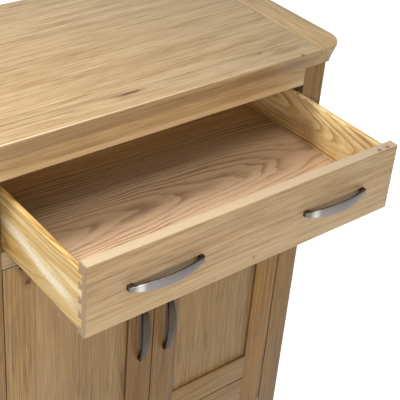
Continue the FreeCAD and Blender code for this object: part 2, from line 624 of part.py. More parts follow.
def make_top_panel():
    width = f"(2 * {HALF_TOP_PANEL})"
    start_y = f"({TOP_FRONT} + sizes.top_strip_width)"
    depth = f"({TOP_DEPTH} - sizes.top_strip_width)"
    size = (width, depth, "sizes.top_panel_thickness")
    body = board("top_panel", (f"(-{HALF_TOP_PANEL})", start_y, TOP_PANEL_UNDERSIDE), size)
    tongue = "(sizes.groove_depth - sizes.panel_edge_gap)"
    tongue_z = "(sizes.top_panel_thickness / 2 - sizes.top_tongue_thickness / 2)"
    tongue_size = (f"({width} + 2 * {tongue})", f"({depth} + {tongue})", "sizes.top_tongue_thickness")
    add_box(body, (f"(-{tongue})", f"(-{tongue})", tongue_z), tongue_size)


# The drawer. Its sides end in dovetails that the front covers.
TAIL_LENGTH = "(sizes.drawer_front_thickness - sizes.dovetail_lap)"
TAIL_PITCH = f"({DRAWER_SIDE_HEIGHT} / {DOVETAIL_COUNT})"


def tail_levels(number):
    """Root and tip heights of a tail, up from the bottom of the drawer side."""
    low = f"(({number} + 1 / 2) * {TAIL_PITCH} - sizes.dovetail_root_width / 2)"
    high = f"(({number} + 1 / 2) * {TAIL_PITCH} + sizes.dovetail_root_width / 2)"
    return low, high, f"({low} - sizes.dovetail_flare)", f"({high} + sizes.dovetail_flare)"


def make_drawer_side(side):
    start_x = at_side(side, HALF_DRAWER_INSIDE, HALF_DRAWER)
    shoulder = f"({DRAWER_FACE} + sizes.drawer_front_thickness)"
    length = "(sizes.drawer_length - sizes.drawer_front_thickness)"
    body = new_body(f"drawer_{SIDE_NAMES[side]}_side", (start_x, shoulder, DRAWER_SIDE_BOTTOM))
    sketch = new_sketch(body, "YZ_Plane")
    points = [("0", "0"), (length, "0"), (length, DRAWER_SIDE_HEIGHT), ("0", DRAWER_SIDE_HEIGHT)]
    for number in reversed(range(DOVETAIL_COUNT)):
        low, high, low_tip, high_tip = tail_levels(number)
        points += [("0", high), (f"(-{TAIL_LENGTH})", high_tip), (f"(-{TAIL_LENGTH})", low_tip), ("0", low)]
    add_outline(sketch, points)
    pad(body, sketch, "sizes.drawer_side_thickness")
    groove_x = from_outside(
        side,
        "sizes.drawer_side_thickness",
        "(sizes.drawer_side_thickness - sizes.drawer_groove_depth)",
        "sizes.drawer_groove_depth",
    )
    groove_length = f"({length} + {TAIL_LENGTH})"
    groove_size = ("sizes.drawer_groove_depth", groove_length, "sizes.drawer_bottom_thickness")
    cut_box(body, (groove_x, f"(-{TAIL_LENGTH})", "sizes.drawer_bottom_lift"), groove_size)
    top_z = value_of(DRAWER_SIDE_HEIGHT)

    def on_top_arris(edge):
        return runs_along(edge, "y") and lies_at(edge, "z", top_z)

    round_edges(body, "sizes.drawer_side_round", on_top_arris)


def cut_tail_sockets(body, side):
    """Sockets for one side's tails, sunk from the end of the drawer front."""
    doc.recompute()
    before = body.Shape.Volume
    offset = "0" if side == LEFT else f"(2 * {HALF_DRAWER})"
    sketch = new_sketch(body, "YZ_Plane", offset)
    back = "sizes.drawer_front_thickness"
    tip = "sizes.dovetail_lap"
    for number in range(DOVETAIL_COUNT):
        lifted = [f"({level} + sizes.drawer_side_lift)" for level in tail_levels(number)]
        low, high, low_tip, high_tip = lifted
        add_outline(sketch, ((back, low), (back, high), (tip, high_tip), (tip, low_tip)))
    pocket = body.newObject("PartDesign::Pocket", f"{body.Name}_sockets")
    pocket.Profile = sketch
    pocket.Reversed = side == LEFT
    bind(pocket, {"Length": "sizes.drawer_side_thickness"})
    doc.recompute()
    return before - body.Shape.Volume


def make_drawer_front():
    corner = (f"(-{HALF_DRAWER})", DRAWER_FACE, DRAWER_FRONT_BOTTOM)
    width = f"(2 * {HALF_DRAWER})"
    size = (width, "sizes.drawer_front_thickness", "sizes.drawer_front_height")
    body = board("drawer_front", corner, size)
    removed = [cut_tail_sockets(body, side) for side in (LEFT, RIGHT)]
    if min(removed) <= 0:
        raise RuntimeError("the dovetail sockets cut nothing")
    groove_x = "(sizes.drawer_side_thickness - sizes.drawer_groove_depth)"
    groove_y = "(sizes.drawer_front_thickness - sizes.drawer_groove_depth)"
    groove_z = "(sizes.drawer_side_lift + sizes.drawer_bottom_lift)"
    groove_length = f"({width} - 2 * {groove_x})"
    groove_size = (groove_length, "sizes.drawer_groove_depth", "sizes.drawer_bottom_thickness")
    cut_box(body, (groove_x, groove_y, groove_z), groove_size)
    for direction in (LEFT, RIGHT):
        for screw in (-1, 1):
            handle_x = f"({HALF_DRAWER} + {direction} * sizes.handle_offset)"
            screw_x = f"({handle_x} + {screw} * sizes.screw_spacing / 2)"
            hole_corner = (screw_x, "0", "sizes.drawer_handle_height")
            drill(body, hole_corner, SCREW_HOLE_RADIUS, "sizes.drawer_front_thickness", (0, 1, 0))
    top_z = value_of("sizes.drawer_front_height")

    def on_front_arris(edge):
        at_level = lies_at(edge, "z", 0.0) or lies_at(edge, "z", top_z)
        return runs_along(edge, "x") and at_level and lies_at(edge, "y", 0.0)

    round_edges(body, "sizes.drawer_front_round", on_front_arris)


def make_drawer_back():
    bottom = DRAWER_BOTTOM_TOP
    height = f"({DRAWER_SIDE_BOTTOM} + {DRAWER_SIDE_HEIGHT} - sizes.drawer_back_drop - {bottom})"
    corner = (f"(-{HALF_DRAWER_INSIDE})", DRAWER_BACK_FACE, bottom)
    board("drawer_back", corner, (f"(2 * {HALF_DRAWER_INSIDE})", "sizes.drawer_back_thickness", height))


def make_drawer_bottom():
    half = f"({HALF_DRAWER_INSIDE} + sizes.drawer_groove_depth - sizes.drawer_panel_gap)"
    entry = "(sizes.drawer_front_thickness - sizes.drawer_groove_depth + sizes.drawer_panel_gap)"
    corner = (f"(-{half})", f"({DRAWER_FACE} + {entry})", DRAWER_BOTTOM_UNDERSIDE)
    size = (f"(2 * {half})", f"(sizes.drawer_length - {entry})", "sizes.drawer_bottom_thickness")
    board("drawer_bottom", corner, size)


# The handles: one bowed strap with two feet, laid on its back in its own frame.
SCREW_HOLE_RADIUS = "(sizes.screw_radius + sizes.screw_hole_slack)"
HANDLE_HALF = "(sizes.handle_length / 2)"


def make_handle(label, corner, upright=False):
    """The bow runs along local X, stands out along -Y and is handle_mid_width wide along Z."""
    body = new_body(label, corner)
    side_view = new_sketch(body, "XY_Plane")
    lean = f"({HANDLE_HALF} - sizes.handle_foot_lean)"
    inner = f"({HANDLE_HALF} - sizes.handle_foot_length)"
    inner_lean = f"({inner} - sizes.handle_foot_lean)"
    shoulder = "(-sizes.handle_end_projection)"
    armpit = "(sizes.handle_strap_thickness - sizes.handle_end_projection)"
    points = (
        (f"(-{HANDLE_HALF})", "0"),
        (f"(-{inner})", "0"),
        (f"(-{inner_lean})", armpit),
        (inner_lean, armpit),
        (inner, "0"),
        (HANDLE_HALF, "0"),
        (lean, shoulder),
        (f"(-{lean})", shoulder),
    )
    arcs = {
        2: ("0", "(sizes.handle_strap_thickness - sizes.handle_projection)"),
        6: ("0", "(-sizes.handle_projection)"),
    }
    add_outline(side_view, points, arcs)
    pad(body, side_view, "sizes.handle_mid_width", midplane=True)

    front_view = new_sketch(body, "XZ_Plane")
    beyond = f"({HANDLE_HALF} + sizes.handle_mid_width)"
    add_outline(
        front_view,
        (
            (f"(-{beyond})", "(-sizes.handle_mid_width)"),
            (beyond, "(-sizes.handle_mid_width)"),
            (beyond, "sizes.handle_mid_width"),
            (f"(-{beyond})", "sizes.handle_mid_width"),
        ),
    )
    end = "(sizes.handle_end_width / 2)"
    tip = f"({HANDLE_HALF} + sizes.handle_round)"
    lens = ((f"(-{tip})", f"(-{end})"), (tip, f"(-{end})"), (tip, end), (f"(-{tip})", end))
    lens_arcs = {0: ("0", "(-sizes.handle_mid_width / 2)"), 2: ("0", "(sizes.handle_mid_width / 2)")}
    add_outline(front_view, lens, lens_arcs)
    trim = body.newObject("PartDesign::Pocket", f"{body.Name}_trim")
    trim.Profile = front_view
    trim.Type = "ThroughAll"
    trim.Midplane = True

    for screw in (-1, 1):
        hole_corner = (f"({screw} * sizes.screw_spacing / 2)", "0", "0")
        drill(body, hole_corner, "(sizes.screw_radius + sizes.screw_fit)", "sizes.screw_bite", (0, -1, 0))
    shoulder_y = value_of(shoulder)
    shoulder_x = value_of(lean)
    half_length = value_of(HANDLE_HALF)

    def on_shoulder(edge):
        at_end = abs(abs(edge.CenterOfMass.x) - shoulder_x) < 0.01
        return runs_along(edge, "z") and lies_at(edge, "y", shoulder_y) and at_end

    def is_long_curve(edge):
        return edge.Length > half_length and edge.Curve.TypeId != "Part::GeomLine"

    round_edges(body, "sizes.handle_shoulder_round", on_shoulder)
    round_edges(body, "sizes.handle_round", is_long_curve)
    if upright:
        body.Placement = FreeCAD.Placement(FreeCAD.Vector(), FreeCAD.Rotation(FreeCAD.Vector(0, 1, 0), 90))
        place(body, corner)


# Fittings that are groups of like solids.
def primitive(kind, corner, sizes_of, direction=None):
    item = doc.addObject(f"Part::{kind}", kind.lower())
    if direction:
        item.Placement = FreeCAD.Placement(
            FreeCAD.Vector(), FreeCAD.Rotation(FreeCAD.Vector(0, 0, 1), FreeCAD.Vector(*direction))
        )
    place(item, corner)
    bind(item, sizes_of)
    return item


def box(corner, size):
    return primitive("Box", corner, {"Length": size[0], "Width": size[1], "Height": size[2]})


def cylinder(corner, radius, height, direction=None):
    return primitive("Cylinder", corner, {"Radius": radius, "Height": height}, direction)


def joined(kind, base, tool):
    item = doc.addObject(f"Part::{kind}", kind.lower())
    item.Base = base
    item.Tool = tool
    return item


def group(label, members):
    compound = doc.addObject("Part::Compound", label)
    compound.Links = members
    return keep(compound, label)


def make_screws(label, spots, thickness):
    """Handle screws, driven from the inner face; each spot is the X, Y, Z of a screw on the outer face."""
    screws = []
    for spot_x, face_y, spot_z in spots:
        seat = (spot_x, f"({face_y} + {thickness})", spot_z)
        shank_length = f"({thickness} + sizes.screw_bite)"
        head = cylinder(seat, "sizes.screw_head_radius", "sizes.screw_head_height", (0, 1, 0))
        shank = cylinder(seat, "sizes.screw_radius", shank_length, (0, -1, 0))
        screws.append(joined("Fuse", head, shank))
    group(label, screws)


def make_foot_glides():
    glides = []
    for side in (LEFT, RIGHT):
        for row_y in (f"({FACE} + sizes.post_depth / 2)", f"({BACK} - sizes.post_depth / 2)"):
            centre_x = f"({side} * ({HALF_OPENING} + sizes.post_width / 2))"
            glides.append(cylinder((centre_x, row_y, "0"), "sizes.glide_radius", "sizes.glide_thickness"))
    group("foot_glides", glides)


def make_shelf_pegs():
    pegs = []
    for side in (LEFT, RIGHT):
        for row, post_y in (("front", FACE), ("back", BEFORE_BACK_POST)):
            start_x = f"({side} * ({HALF_OPENING} - sizes.peg_reach))"
            centre_z = "(sizes.shelf_height - sizes.peg_radius)"
            corner = (start_x, f"({post_y} + {PEG_Y[row]})", centre_z)
            pegs.append(cylinder(corner, "sizes.peg_radius", "sizes.peg_length", (side, 0, 0)))
    group("shelf_pegs", pegs)


def make_drawer_stops():
    stops = []
    for side in (LEFT, RIGHT):
        start_x = f"({side} * sizes.drawer_stop_spacing / 2 - sizes.drawer_stop_width / 2)"
        start_y = f"({FACE} + sizes.drawer_front_thickness + sizes.running_gap)"
        size = ("sizes.drawer_stop_width", "sizes.drawer_stop_depth", "sizes.drawer_stop_height")
        stops.append(box((start_x, start_y, DRAWER_HOLE_BOTTOM), size))
    group("drawer_stops", stops)


def make_catch_blocks():
    """Blocks on the drawer's back that meet the rail above the opening when the drawer is pulled out."""
    blocks = []
    for side in (LEFT, RIGHT):
        start_x = f"({side} * sizes.catch_block_spacing / 2 - sizes.catch_block_width / 2)"
        start_y = f"({DRAWER_BACK_FACE} - sizes.catch_block_thickness)"
        start_z = f"({DRAWER_HOLE_TOP} + sizes.catch_block_rise - sizes.catch_block_height)"
        size = ("sizes.catch_block_width", "sizes.catch_block_thickness", "sizes.catch_block_height")
        blocks.append(box((start_x, start_y, start_z), size))
    group("drawer_catch_blocks", blocks)


def hinge_levels():
    """Upper and lower hinge: the rail's face, the door's face and the way from rail to door."""
    return ((DOOR_HOLE_TOP, f"({DOOR_BOTTOM} + {DOOR_HEIGHT})", -1), (DOOR_HOLE_BOTTOM, DOOR_BOTTOM, 1))


def plate_corner(side, level_z, rises):
    start_x = at_side(side, f"({DOOR_OUTER_EDGE} - sizes.hinge_plate_length)", DOOR_OUTER_EDGE)
    start_y = f"({PIVOT_Y} - sizes.hinge_plate_width / 2)"
    return (start_x, start_y, level_z if rises else f"({level_z} - {HINGE_PLATE_THICKNESS})")


PLATE_SIZE = ("sizes.hinge_plate_length", "sizes.hinge_plate_width", HINGE_PLATE_THICKNESS)


def make_frame_plates():
    """Hinge plates on the rails, each with the pin that a door turns on."""
    plates = []
    for side in (LEFT, RIGHT):
        for rail_z, door_z, way in hinge_levels():
            plate = box(plate_corner(side, rail_z, way > 0), PLATE_SIZE)
            reach = f"(sizes.front_gap + sizes.pin_length)"
            pin_corner = (f"({side} * {PIVOT_X})", PIVOT_Y, rail_z)
            pin = cylinder(pin_corner, "sizes.pin_radius", reach, (0, 0, way))
            plates.append(joined("Fuse", plate, pin))
    group("hinge_frame_plates", plates)


def make_door_plates(side):
    plates = []
    for rail_z, door_z, way in hinge_levels():
        plate = box(plate_corner(side, door_z, way < 0), PLATE_SIZE)
        hole_corner = (f"({side} * {PIVOT_X})", PIVOT_Y, f"({door_z} - sizes.front_gap)")
        hole = cylinder(hole_corner, "(sizes.pin_radius + sizes.pin_fit)", "(2 * sizes.front_gap)")
        plates.append(joined("Cut", plate, hole))
    group(f"{SIDE_NAMES[side]}_door_hinge_plates", plates)


def make_magnets():
    magnets = []
    for side in (LEFT, RIGHT):
        centre_x = f"({side} * ({DOOR_MEETING_EDGE} + sizes.door_stile_width / 2))"
        start_x = f"({centre_x} - sizes.magnet_width / 2)"
        start_y = f"({FACE} + sizes.door_thickness + sizes.catch_plate_thickness + sizes.magnet_gap)"
        corner = (start_x, start_y, f"({DOOR_HOLE_TOP} - sizes.magnet_height)")
        magnets.append(box(corner, ("sizes.magnet_width", "sizes.magnet_depth", "sizes.magnet_height")))
    group("magnet_catches", magnets)


def make_catch_plate(side):
    centre_x = f"({side} * ({DOOR_MEETING_EDGE} + sizes.door_stile_width / 2))"
    start_z = f"({DOOR_BOTTOM} + {DOOR_HEIGHT} - sizes.catch_plate_drop - sizes.catch_plate_height)"
    corner = (f"({centre_x} - sizes.catch_plate_width / 2)", f"({FACE} + sizes.door_thickness)", start_z)
    size = ("sizes.catch_plate_width", "sizes.catch_plate_thickness", "sizes.catch_plate_height")
    keep(box(corner, size), f"{SIDE_NAMES[side]}_door_catch_plate")


# The doors: two stiles, three rails and a panel in a groove.
def make_door_stile(side, which):
    label = f"{SIDE_NAMES[side]}_door_{which}_stile"
    if which == "outer":
        inner, outer = f"({DOOR_OUTER_EDGE} - sizes.door_stile_width)", DOOR_OUTER_EDGE
    else:
        inner, outer = DOOR_MEETING_EDGE, f"({DOOR_MEETING_EDGE} + sizes.door_stile_width)"
    corner = (at_side(side, inner, outer), FACE, DOOR_BOTTOM)
    body = board(label, corner, ("sizes.door_stile_width", "sizes.door_thickness", DOOR_HEIGHT))
    edge_is_low = (side == LEFT) == (which == "outer")
    far = "(sizes.door_stile_width - sizes.groove_depth)"
    groove_corner = (far if edge_is_low else "0", "sizes.door_panel_recess", "0")
    cut_box(body, groove_corner, ("sizes.groove_depth", "sizes.door_panel_thickness", DOOR_HEIGHT))
    if which == "outer":
        hole_x = from_outside(side, "sizes.door_stile_width", "sizes.pivot_inset", "0")
        radius = "(sizes.pin_radius + sizes.pin_fit)"
        depth = "(sizes.pin_length + sizes.pin_end_gap)"
        drill(body, (hole_x, "sizes.pivot_setback", "0"), radius, depth, (0, 0, 1))
        drill(body, (hole_x, "sizes.pivot_setback", DOOR_HEIGHT), radius, depth, (0, 0, -1))
    else:
        for level in DOOR_SCREW_LEVELS:
            hole_corner = ("(sizes.door_stile_width / 2)", "0", f"({level} - {DOOR_BOTTOM})")
            drill(body, hole_corner, SCREW_HOLE_RADIUS, "sizes.door_thickness", (0, 1, 0))
    outer_x = 0.0 if edge_is_low else value_of("sizes.door_stile_width")

    def on_outer_arris(edge):
        return runs_along(edge, "z") and lies_at(edge, "x", outer_x) and lies_at(edge, "y", 0.0)

    round_edges(body, "sizes.door_arris_round", on_outer_arris)


def make_door_rail(side, level, bottom, height, grooved, jointed):
    """grooved says at which edge the panel enters, jointed at which edge the other lower rail lies."""
    start_x = at_side(side, DOOR_RAIL_START, DOOR_RAIL_END)
    label = f"{SIDE_NAMES[side]}_door_{level}_rail"
    body = board(label, (start_x, FACE, bottom), (DOOR_RAIL_LENGTH, "sizes.door_thickness", height))
    tenon_size = ("sizes.groove_depth", "sizes.door_panel_thickness", height)
    for tenon_x in ("(-sizes.groove_depth)", DOOR_RAIL_LENGTH):
        add_box(body, (tenon_x, "sizes.door_panel_recess", "0"), tenon_size)
    if grooved:
        groove_z = "0" if grooved == "low" else f"({height} - sizes.groove_depth)"
        groove_corner = ("(-sizes.groove_depth)", "sizes.door_panel_recess", groove_z)
        groove_length = f"({DOOR_RAIL_LENGTH} + 2 * sizes.groove_depth)"
        cut_box(body, groove_corner, (groove_length, "sizes.door_panel_thickness", "sizes.groove_depth"))
    if jointed:
        level_z = "0" if jointed == "low" else f"({height} - sizes.rail_groove_width)"
        if jointed == "high":
            groove_size = (DOOR_RAIL_LENGTH, "sizes.rail_groove_depth", "sizes.rail_groove_width")
            cut_box(body, ("0", "0", level_z), groove_size)
        arris_z = value_of(level_z)

        def on_front_edge(edge):
            return runs_along(edge, "x") and lies_at(edge, "y", 0.0) and lies_at(edge, "z", arris_z)

        dress_edges(body, "Chamfer", on_front_edge, {"Size": "sizes.rail_chamfer"})


def make_door_panel(side):
    tongue = "(sizes.groove_depth - sizes.panel_edge_gap)"
    rail_x = at_side(side, DOOR_RAIL_START, DOOR_RAIL_END)
    low = f"({DOOR_BOTTOM} + sizes.door_bottom_rail_height + sizes.door_middle_rail_height - {tongue})"
    high = f"({DOOR_BOTTOM} + {DOOR_HEIGHT} - sizes.door_top_rail_height + {tongue})"
    corner = (f"({rail_x} - {tongue})", f"({FACE} + sizes.door_panel_recess)", low)
    size = (f"({DOOR_RAIL_LENGTH} + 2 * {tongue})", "sizes.door_panel_thickness", f"({high} - {low})")
    board(f"{SIDE_NAMES[side]}_door_panel", corner, size)


def make_door(side):
    name = SIDE_NAMES[side]
    for which in ("outer", "inner"):
        make_door_stile(side, which)
    above_bottom_rail = f"({DOOR_BOTTOM} + sizes.door_bottom_rail_height)"
    top_rail_bottom = f"({DOOR_BOTTOM} + {DOOR_HEIGHT} - sizes.door_top_rail_height)"
    make_door_rail(side, "top", top_rail_bottom, "sizes.door_top_rail_height", "low", None)
    make_door_rail(side, "middle", above_bottom_rail, "sizes.door_middle_rail_height", "high", "low")
    make_door_rail(side, "bottom", DOOR_BOTTOM, "sizes.door_bottom_rail_height", None, "high")
    make_door_panel(side)
    handle_x = f"({side} * ({DOOR_MEETING_EDGE} + sizes.door_stile_width / 2))"
    make_handle(f"{name}_door_handle", (handle_x, FACE, "sizes.door_handle_height"), upright=True)
    spots = [(handle_x, FACE, level) for level in DOOR_SCREW_LEVELS]
    make_screws(f"{name}_door_handle_screws", spots, "sizes.door_thickness")
    make_door_plates(side)
    make_catch_plate(side)


def make_carcass():
    for row in ("front", "back"):
        for side in (LEFT, RIGHT):
            make_post(side, row)
    rail_names = ("front_top_rail", "front_middle_rail", "front_bottom_rail")
    for label, (bottom, height) in zip(rail_names, front_rail_places()):
        make_crossrail(label, FACE, "sizes.front_rail_depth", bottom, height)
    for label, (bottom, height) in zip(("back_top_rail", "back_bottom_rail"), back_rail_places()):
        make_crossrail(label, BACK_RAIL_FACE, "sizes.back_rail_depth", bottom, height)
    for side in (LEFT, RIGHT):
        for level in ("top", "bottom"):
            make_side_rail(side, level)
        make_side_panel(side)
        make_runner(side)
        make_kicker(side)
    make_back_panel()
    make_bottom_board()
    make_shelf()
    make_shelf_pegs()
    make_foot_glides()
    make_drawer_stops()
    make_frame_plates()
    make_magnets()


def make_top():
    make_top_panel()
    make_top_front_strip()
    for side in (LEFT, RIGHT):
        make_top_end(side)


def make_drawer():
    make_drawer_front()
    for side in (LEFT, RIGHT):
        make_drawer_side(side)
    make_drawer_back()
    make_drawer_bottom()
    make_catch_blocks()
    spots = []
    for side in (LEFT, RIGHT):
        handle_x = f"({side} * sizes.handle_offset)"
        make_handle(f"drawer_{SIDE_NAMES[side]}_handle", (handle_x, DRAWER_FACE, DRAWER_HANDLE_HEIGHT))
        spots += [
            (f"({handle_x} + {screw} * sizes.screw_spacing / 2)", DRAWER_FACE, DRAWER_HANDLE_HEIGHT)
            for screw in (-1, 1)
        ]
    make_screws("drawer_handle_screws", spots, "sizes.drawer_front_thickness")


def check_and_export():
    doc.recompute()
    for item in doc.Objects:
        if "Invalid" in item.State or "Error" in item.State:
            raise RuntimeError(f"{item.Label} did not compute: {item.State}")
    os.makedirs("parts", exist_ok=True)
    for item in parts_in_order:
        shape = item.Shape
        if shape.isNull() or not shape.isValid():
            raise RuntimeError(f"{item.Label} has no sound shape")
        shape.exportStep(f"parts/{item.Label}.step")
    print(f"{len(parts_in_order)} pieces written")


make_carcass()
make_top()
make_drawer()
make_door(LEFT)
make_door(RIGHT)
check_and_export()
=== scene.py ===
import json
from math import pi, radians

import bpy
from mathutils import Matrix, Vector


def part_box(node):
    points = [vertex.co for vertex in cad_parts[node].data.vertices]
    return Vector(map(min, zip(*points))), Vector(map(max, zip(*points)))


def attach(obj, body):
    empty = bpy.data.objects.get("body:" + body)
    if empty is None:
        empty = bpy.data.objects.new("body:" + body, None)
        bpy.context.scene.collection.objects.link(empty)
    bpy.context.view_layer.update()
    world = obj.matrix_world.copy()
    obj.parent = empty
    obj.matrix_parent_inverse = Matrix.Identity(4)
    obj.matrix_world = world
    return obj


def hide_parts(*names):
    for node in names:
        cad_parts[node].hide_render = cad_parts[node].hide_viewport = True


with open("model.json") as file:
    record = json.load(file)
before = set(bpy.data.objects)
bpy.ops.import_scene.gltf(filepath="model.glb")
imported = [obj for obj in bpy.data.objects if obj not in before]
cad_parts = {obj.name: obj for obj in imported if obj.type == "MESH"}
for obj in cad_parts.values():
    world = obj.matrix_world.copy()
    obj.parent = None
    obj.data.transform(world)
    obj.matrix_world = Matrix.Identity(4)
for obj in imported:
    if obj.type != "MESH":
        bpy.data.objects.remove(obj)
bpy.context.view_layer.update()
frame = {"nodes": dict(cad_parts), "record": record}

# All lengths are in metres, in the frame of the CAD model: X to the right, Y to the back, Z up.
post_low, post_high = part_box("front_left_post")
POST_FACE = post_low[1]
POST_EDGE = -post_high[0]
TOP_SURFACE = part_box("top_panel")[1][2]
# How deep the edge of a panel sits in the groove of its frame.
PANEL_TONGUE = 0.007
# Each side with the sign of X on it.
SIDES = (("left", -1), ("right", 1))
BODY_OF = {node: body for body, nodes in frame["record"]["behaviour"]["bodies"].items() for node in nodes}


# Small helpers for shader trees.
def new_material(name):
    material = bpy.data.materials.new(name)
    material.use_nodes = True
    tree = material.node_tree
    return material, tree, tree.nodes["Principled BSDF"]


def new_node(tree, kind, **settings):
    node = tree.nodes.new(kind)
    for name, value in settings.items():
        setattr(node, name, value)
    return node


def feed(tree, socket, value):
    """Sets a socket to a plain value, or links it where the value is another node's output."""
    if isinstance(value, bpy.types.NodeSocket):
        tree.links.new(value, socket)
    elif value is not None:
        socket.default_value = value


def maths(tree, operation, first, second=None, third=None, clamp=False):
    node = new_node(tree, "ShaderNodeMath", operation=operation, use_clamp=clamp)
    for socket, value in zip(node.inputs, (first, second, third)):
        feed(tree, socket, value)
    return node.outputs[0]


def vector_maths(tree, operation, first, second=None, scale=None):
    node = new_node(tree, "ShaderNodeVectorMath", operation=operation)
    feed(tree, node.inputs[0], first)
    feed(tree, node.inputs[1], second)
    if scale is not None:
        feed(tree, node.inputs["Scale"], scale)
    return node.outputs["Value" if operation == "LENGTH" else "Vector"]


def stretched(tree, vector, factors):
    return vector_maths(tree, "MULTIPLY", vector, factors)


def swing(tree, value, amount, middle, clamp=False):
    """Turns a value that lies round 0.5 into one that lies round middle, amount times as wide."""
    centred = maths(tree, "SUBTRACT", value, 0.5)
    return maths(tree, "MULTIPLY_ADD", centred, amount, middle, clamp=clamp)


def spread(tree, value, low, high, new_low=0.0, new_high=1.0, smooth=True):
    """Maps low..high to new_low..new_high and holds the ends."""
    node = new_node(tree, "ShaderNodeMapRange", clamp=True)
    node.interpolation_type = "SMOOTHSTEP" if smooth else "LINEAR"
    for socket, given in zip(node.inputs, (value, low, high, new_low, new_high)):
        feed(tree, socket, given)
    return node.outputs[0]


def noise(tree, vector, scale, detail, roughness=0.5):
    node = new_node(tree, "ShaderNodeTexNoise")
    feed(tree, node.inputs["Vector"], vector)
    feed(tree, node.inputs["Scale"], scale)
    feed(tree, node.inputs["Detail"], detail)
    feed(tree, node.inputs["Roughness"], roughness)
    return node.outputs["Fac"]


def blend_colours(tree, factor, first, second):
    node = new_node(tree, "ShaderNodeMix", data_type="RGBA")
    feed(tree, node.inputs["Factor"], factor)
    feed(tree, node.inputs[6], first)
    feed(tree, node.inputs[7], second)
    return node.outputs[2]


def object_coordinates(tree):
    return new_node(tree, "ShaderNodeTexCoord").outputs["Object"]


def add_bump(tree, shader, height, strength, distance):
    bump = new_node(tree, "ShaderNodeBump")
    bump.inputs["Strength"].default_value = strength
    bump.inputs["Distance"].default_value = distance
    tree.links.new(height, bump.inputs["Height"])
    tree.links.new(bump.outputs[0], shader.inputs["Normal"])


def new_group(name, inputs, outputs):
    """A shader group whose inputs are given as label: (kind, default) and its outputs as label: kind."""
    group = bpy.data.node_groups.new(name, "ShaderNodeTree")
    for label, (kind, value) in inputs.items():
        socket = group.interface.new_socket(label, in_out="INPUT", socket_type=f"NodeSocket{kind}")
        socket.default_value = value
    for label, kind in outputs.items():
        group.interface.new_socket(label, in_out="OUTPUT", socket_type=f"NodeSocket{kind}")
    given = group.nodes.new("NodeGroupInput").outputs
    result = group.nodes.new("NodeGroupOutput").inputs
    return group, given, result


def place_group(tree, group, **values):
    """Puts a group into a tree; an underscore in a name stands for the space in the socket's label."""
    node = new_node(tree, "ShaderNodeGroup", node_tree=group)
    for name, value in values.items():
        feed(tree, node.inputs[name.replace("_", " ")], value)
    return node.outputs


def linear(hex_colour):
    """Colour written as on a screen, such as "C4A77D", to the shader's linear values."""
    channels = [int(hex_colour[start:start + 2], 16) / 255 for start in (0, 2, 4)]
    straight = [c / 12.92 if c <= 0.04045 else ((c + 0.055) / 1.055) ** 2.4 for c in channels]
    return (*straight, 1.0)


# Wood. The figure is cut from a log: rings round a heart line, fibres and pores along it.
# Each noise has its waves in a metre along the grain and across it, then its detail and roughness.
GRAIN_NOISES = {
    "drift": (3.2, 10.0, 2.0, 0.5),
    "ripple": (11.0, 65.0, 2.0, 0.5),
    "fading": (2.5, 26.0, 1.0, 0.5),
    "bands": (2.4, 75.0, 3.0, 0.6),
    "long_lines": (4.2, 210.0, 3.0, 0.7),
    "slim_lines": (12.0, 470.0, 3.0, 0.7),
    "pores": (13.0, 330.0, 2.0, 0.6),
    "clouds": (5.0, 24.0, 4.0, 0.5),
}
FIBRE_SHARES = {"slim_lines": 0.40, "long_lines": 0.42, "bands": 0.18}
RIPPLE_DEPTH = 0.004
# The count of rings runs ahead by up to the first of these, with the second's number of waves a ring.
UNEVEN_RINGS = 2.2
UNEVEN_WAVES = 0.37
# Within a ring, which runs from 0 to 1, late wood is darkest at its peak and over at its end.
LATE_WOOD_PEAK = 0.10
LATE_WOOD_END = 0.60
FADED_RINGS = 0.3
# Pore noise below the first value gives no pore, and above the second a full one.
PORE_START, PORE_FULL = 0.56, 0.66
# Nearly all of the fibre noise lies between these.
FIBRE_LOW, FIBRE_HIGH = 0.34, 0.66
MIDDLE_TONE = 0.55
PORE_DARKNESS = 0.45
WOOD_ROUGHNESS = 0.48
WOOD_SPECULAR = 0.35
PATCH_COARSE_WAVES = 1.3
PATCH_FINE_WAVES = 260.0


def grain_noise(tree, place, kind):
    along, across, detail, roughness = GRAIN_NOISES[kind]
    return noise(tree, stretched(tree, place, (along, across, across)), 1.0, detail, roughness)


def build_rings(tree, place, ring_width, wander):
    """1 in the dark late wood of each ring and 0 in the pale early wood."""
    from_heart = vector_maths(tree, "LENGTH", stretched(tree, place, (0.0, 1.0, 1.0)))
    from_heart = swing(tree, grain_noise(tree, place, "drift"), wander, from_heart)
    from_heart = swing(tree, grain_noise(tree, place, "ripple"), RIPPLE_DEPTH, from_heart)
    count = maths(tree, "DIVIDE", from_heart, ring_width)
    uneven = noise(tree, maths(tree, "MULTIPLY", count, UNEVEN_WAVES), 1.0, 1.0)
    count = maths(tree, "MULTIPLY_ADD", uneven, UNEVEN_RINGS, count)
    within = maths(tree, "FRACT", count)
    rise = spread(tree, within, 0.0, LATE_WOOD_PEAK)
    fall = spread(tree, within, LATE_WOOD_PEAK, LATE_WOOD_END, 1.0, 0.0)
    fading = spread(tree, grain_noise(tree, place, "fading"), 0.3, 0.65, FADED_RINGS, 1.0)
    return maths(tree, "MULTIPLY", maths(tree, "MULTIPLY", rise, fall), fading)


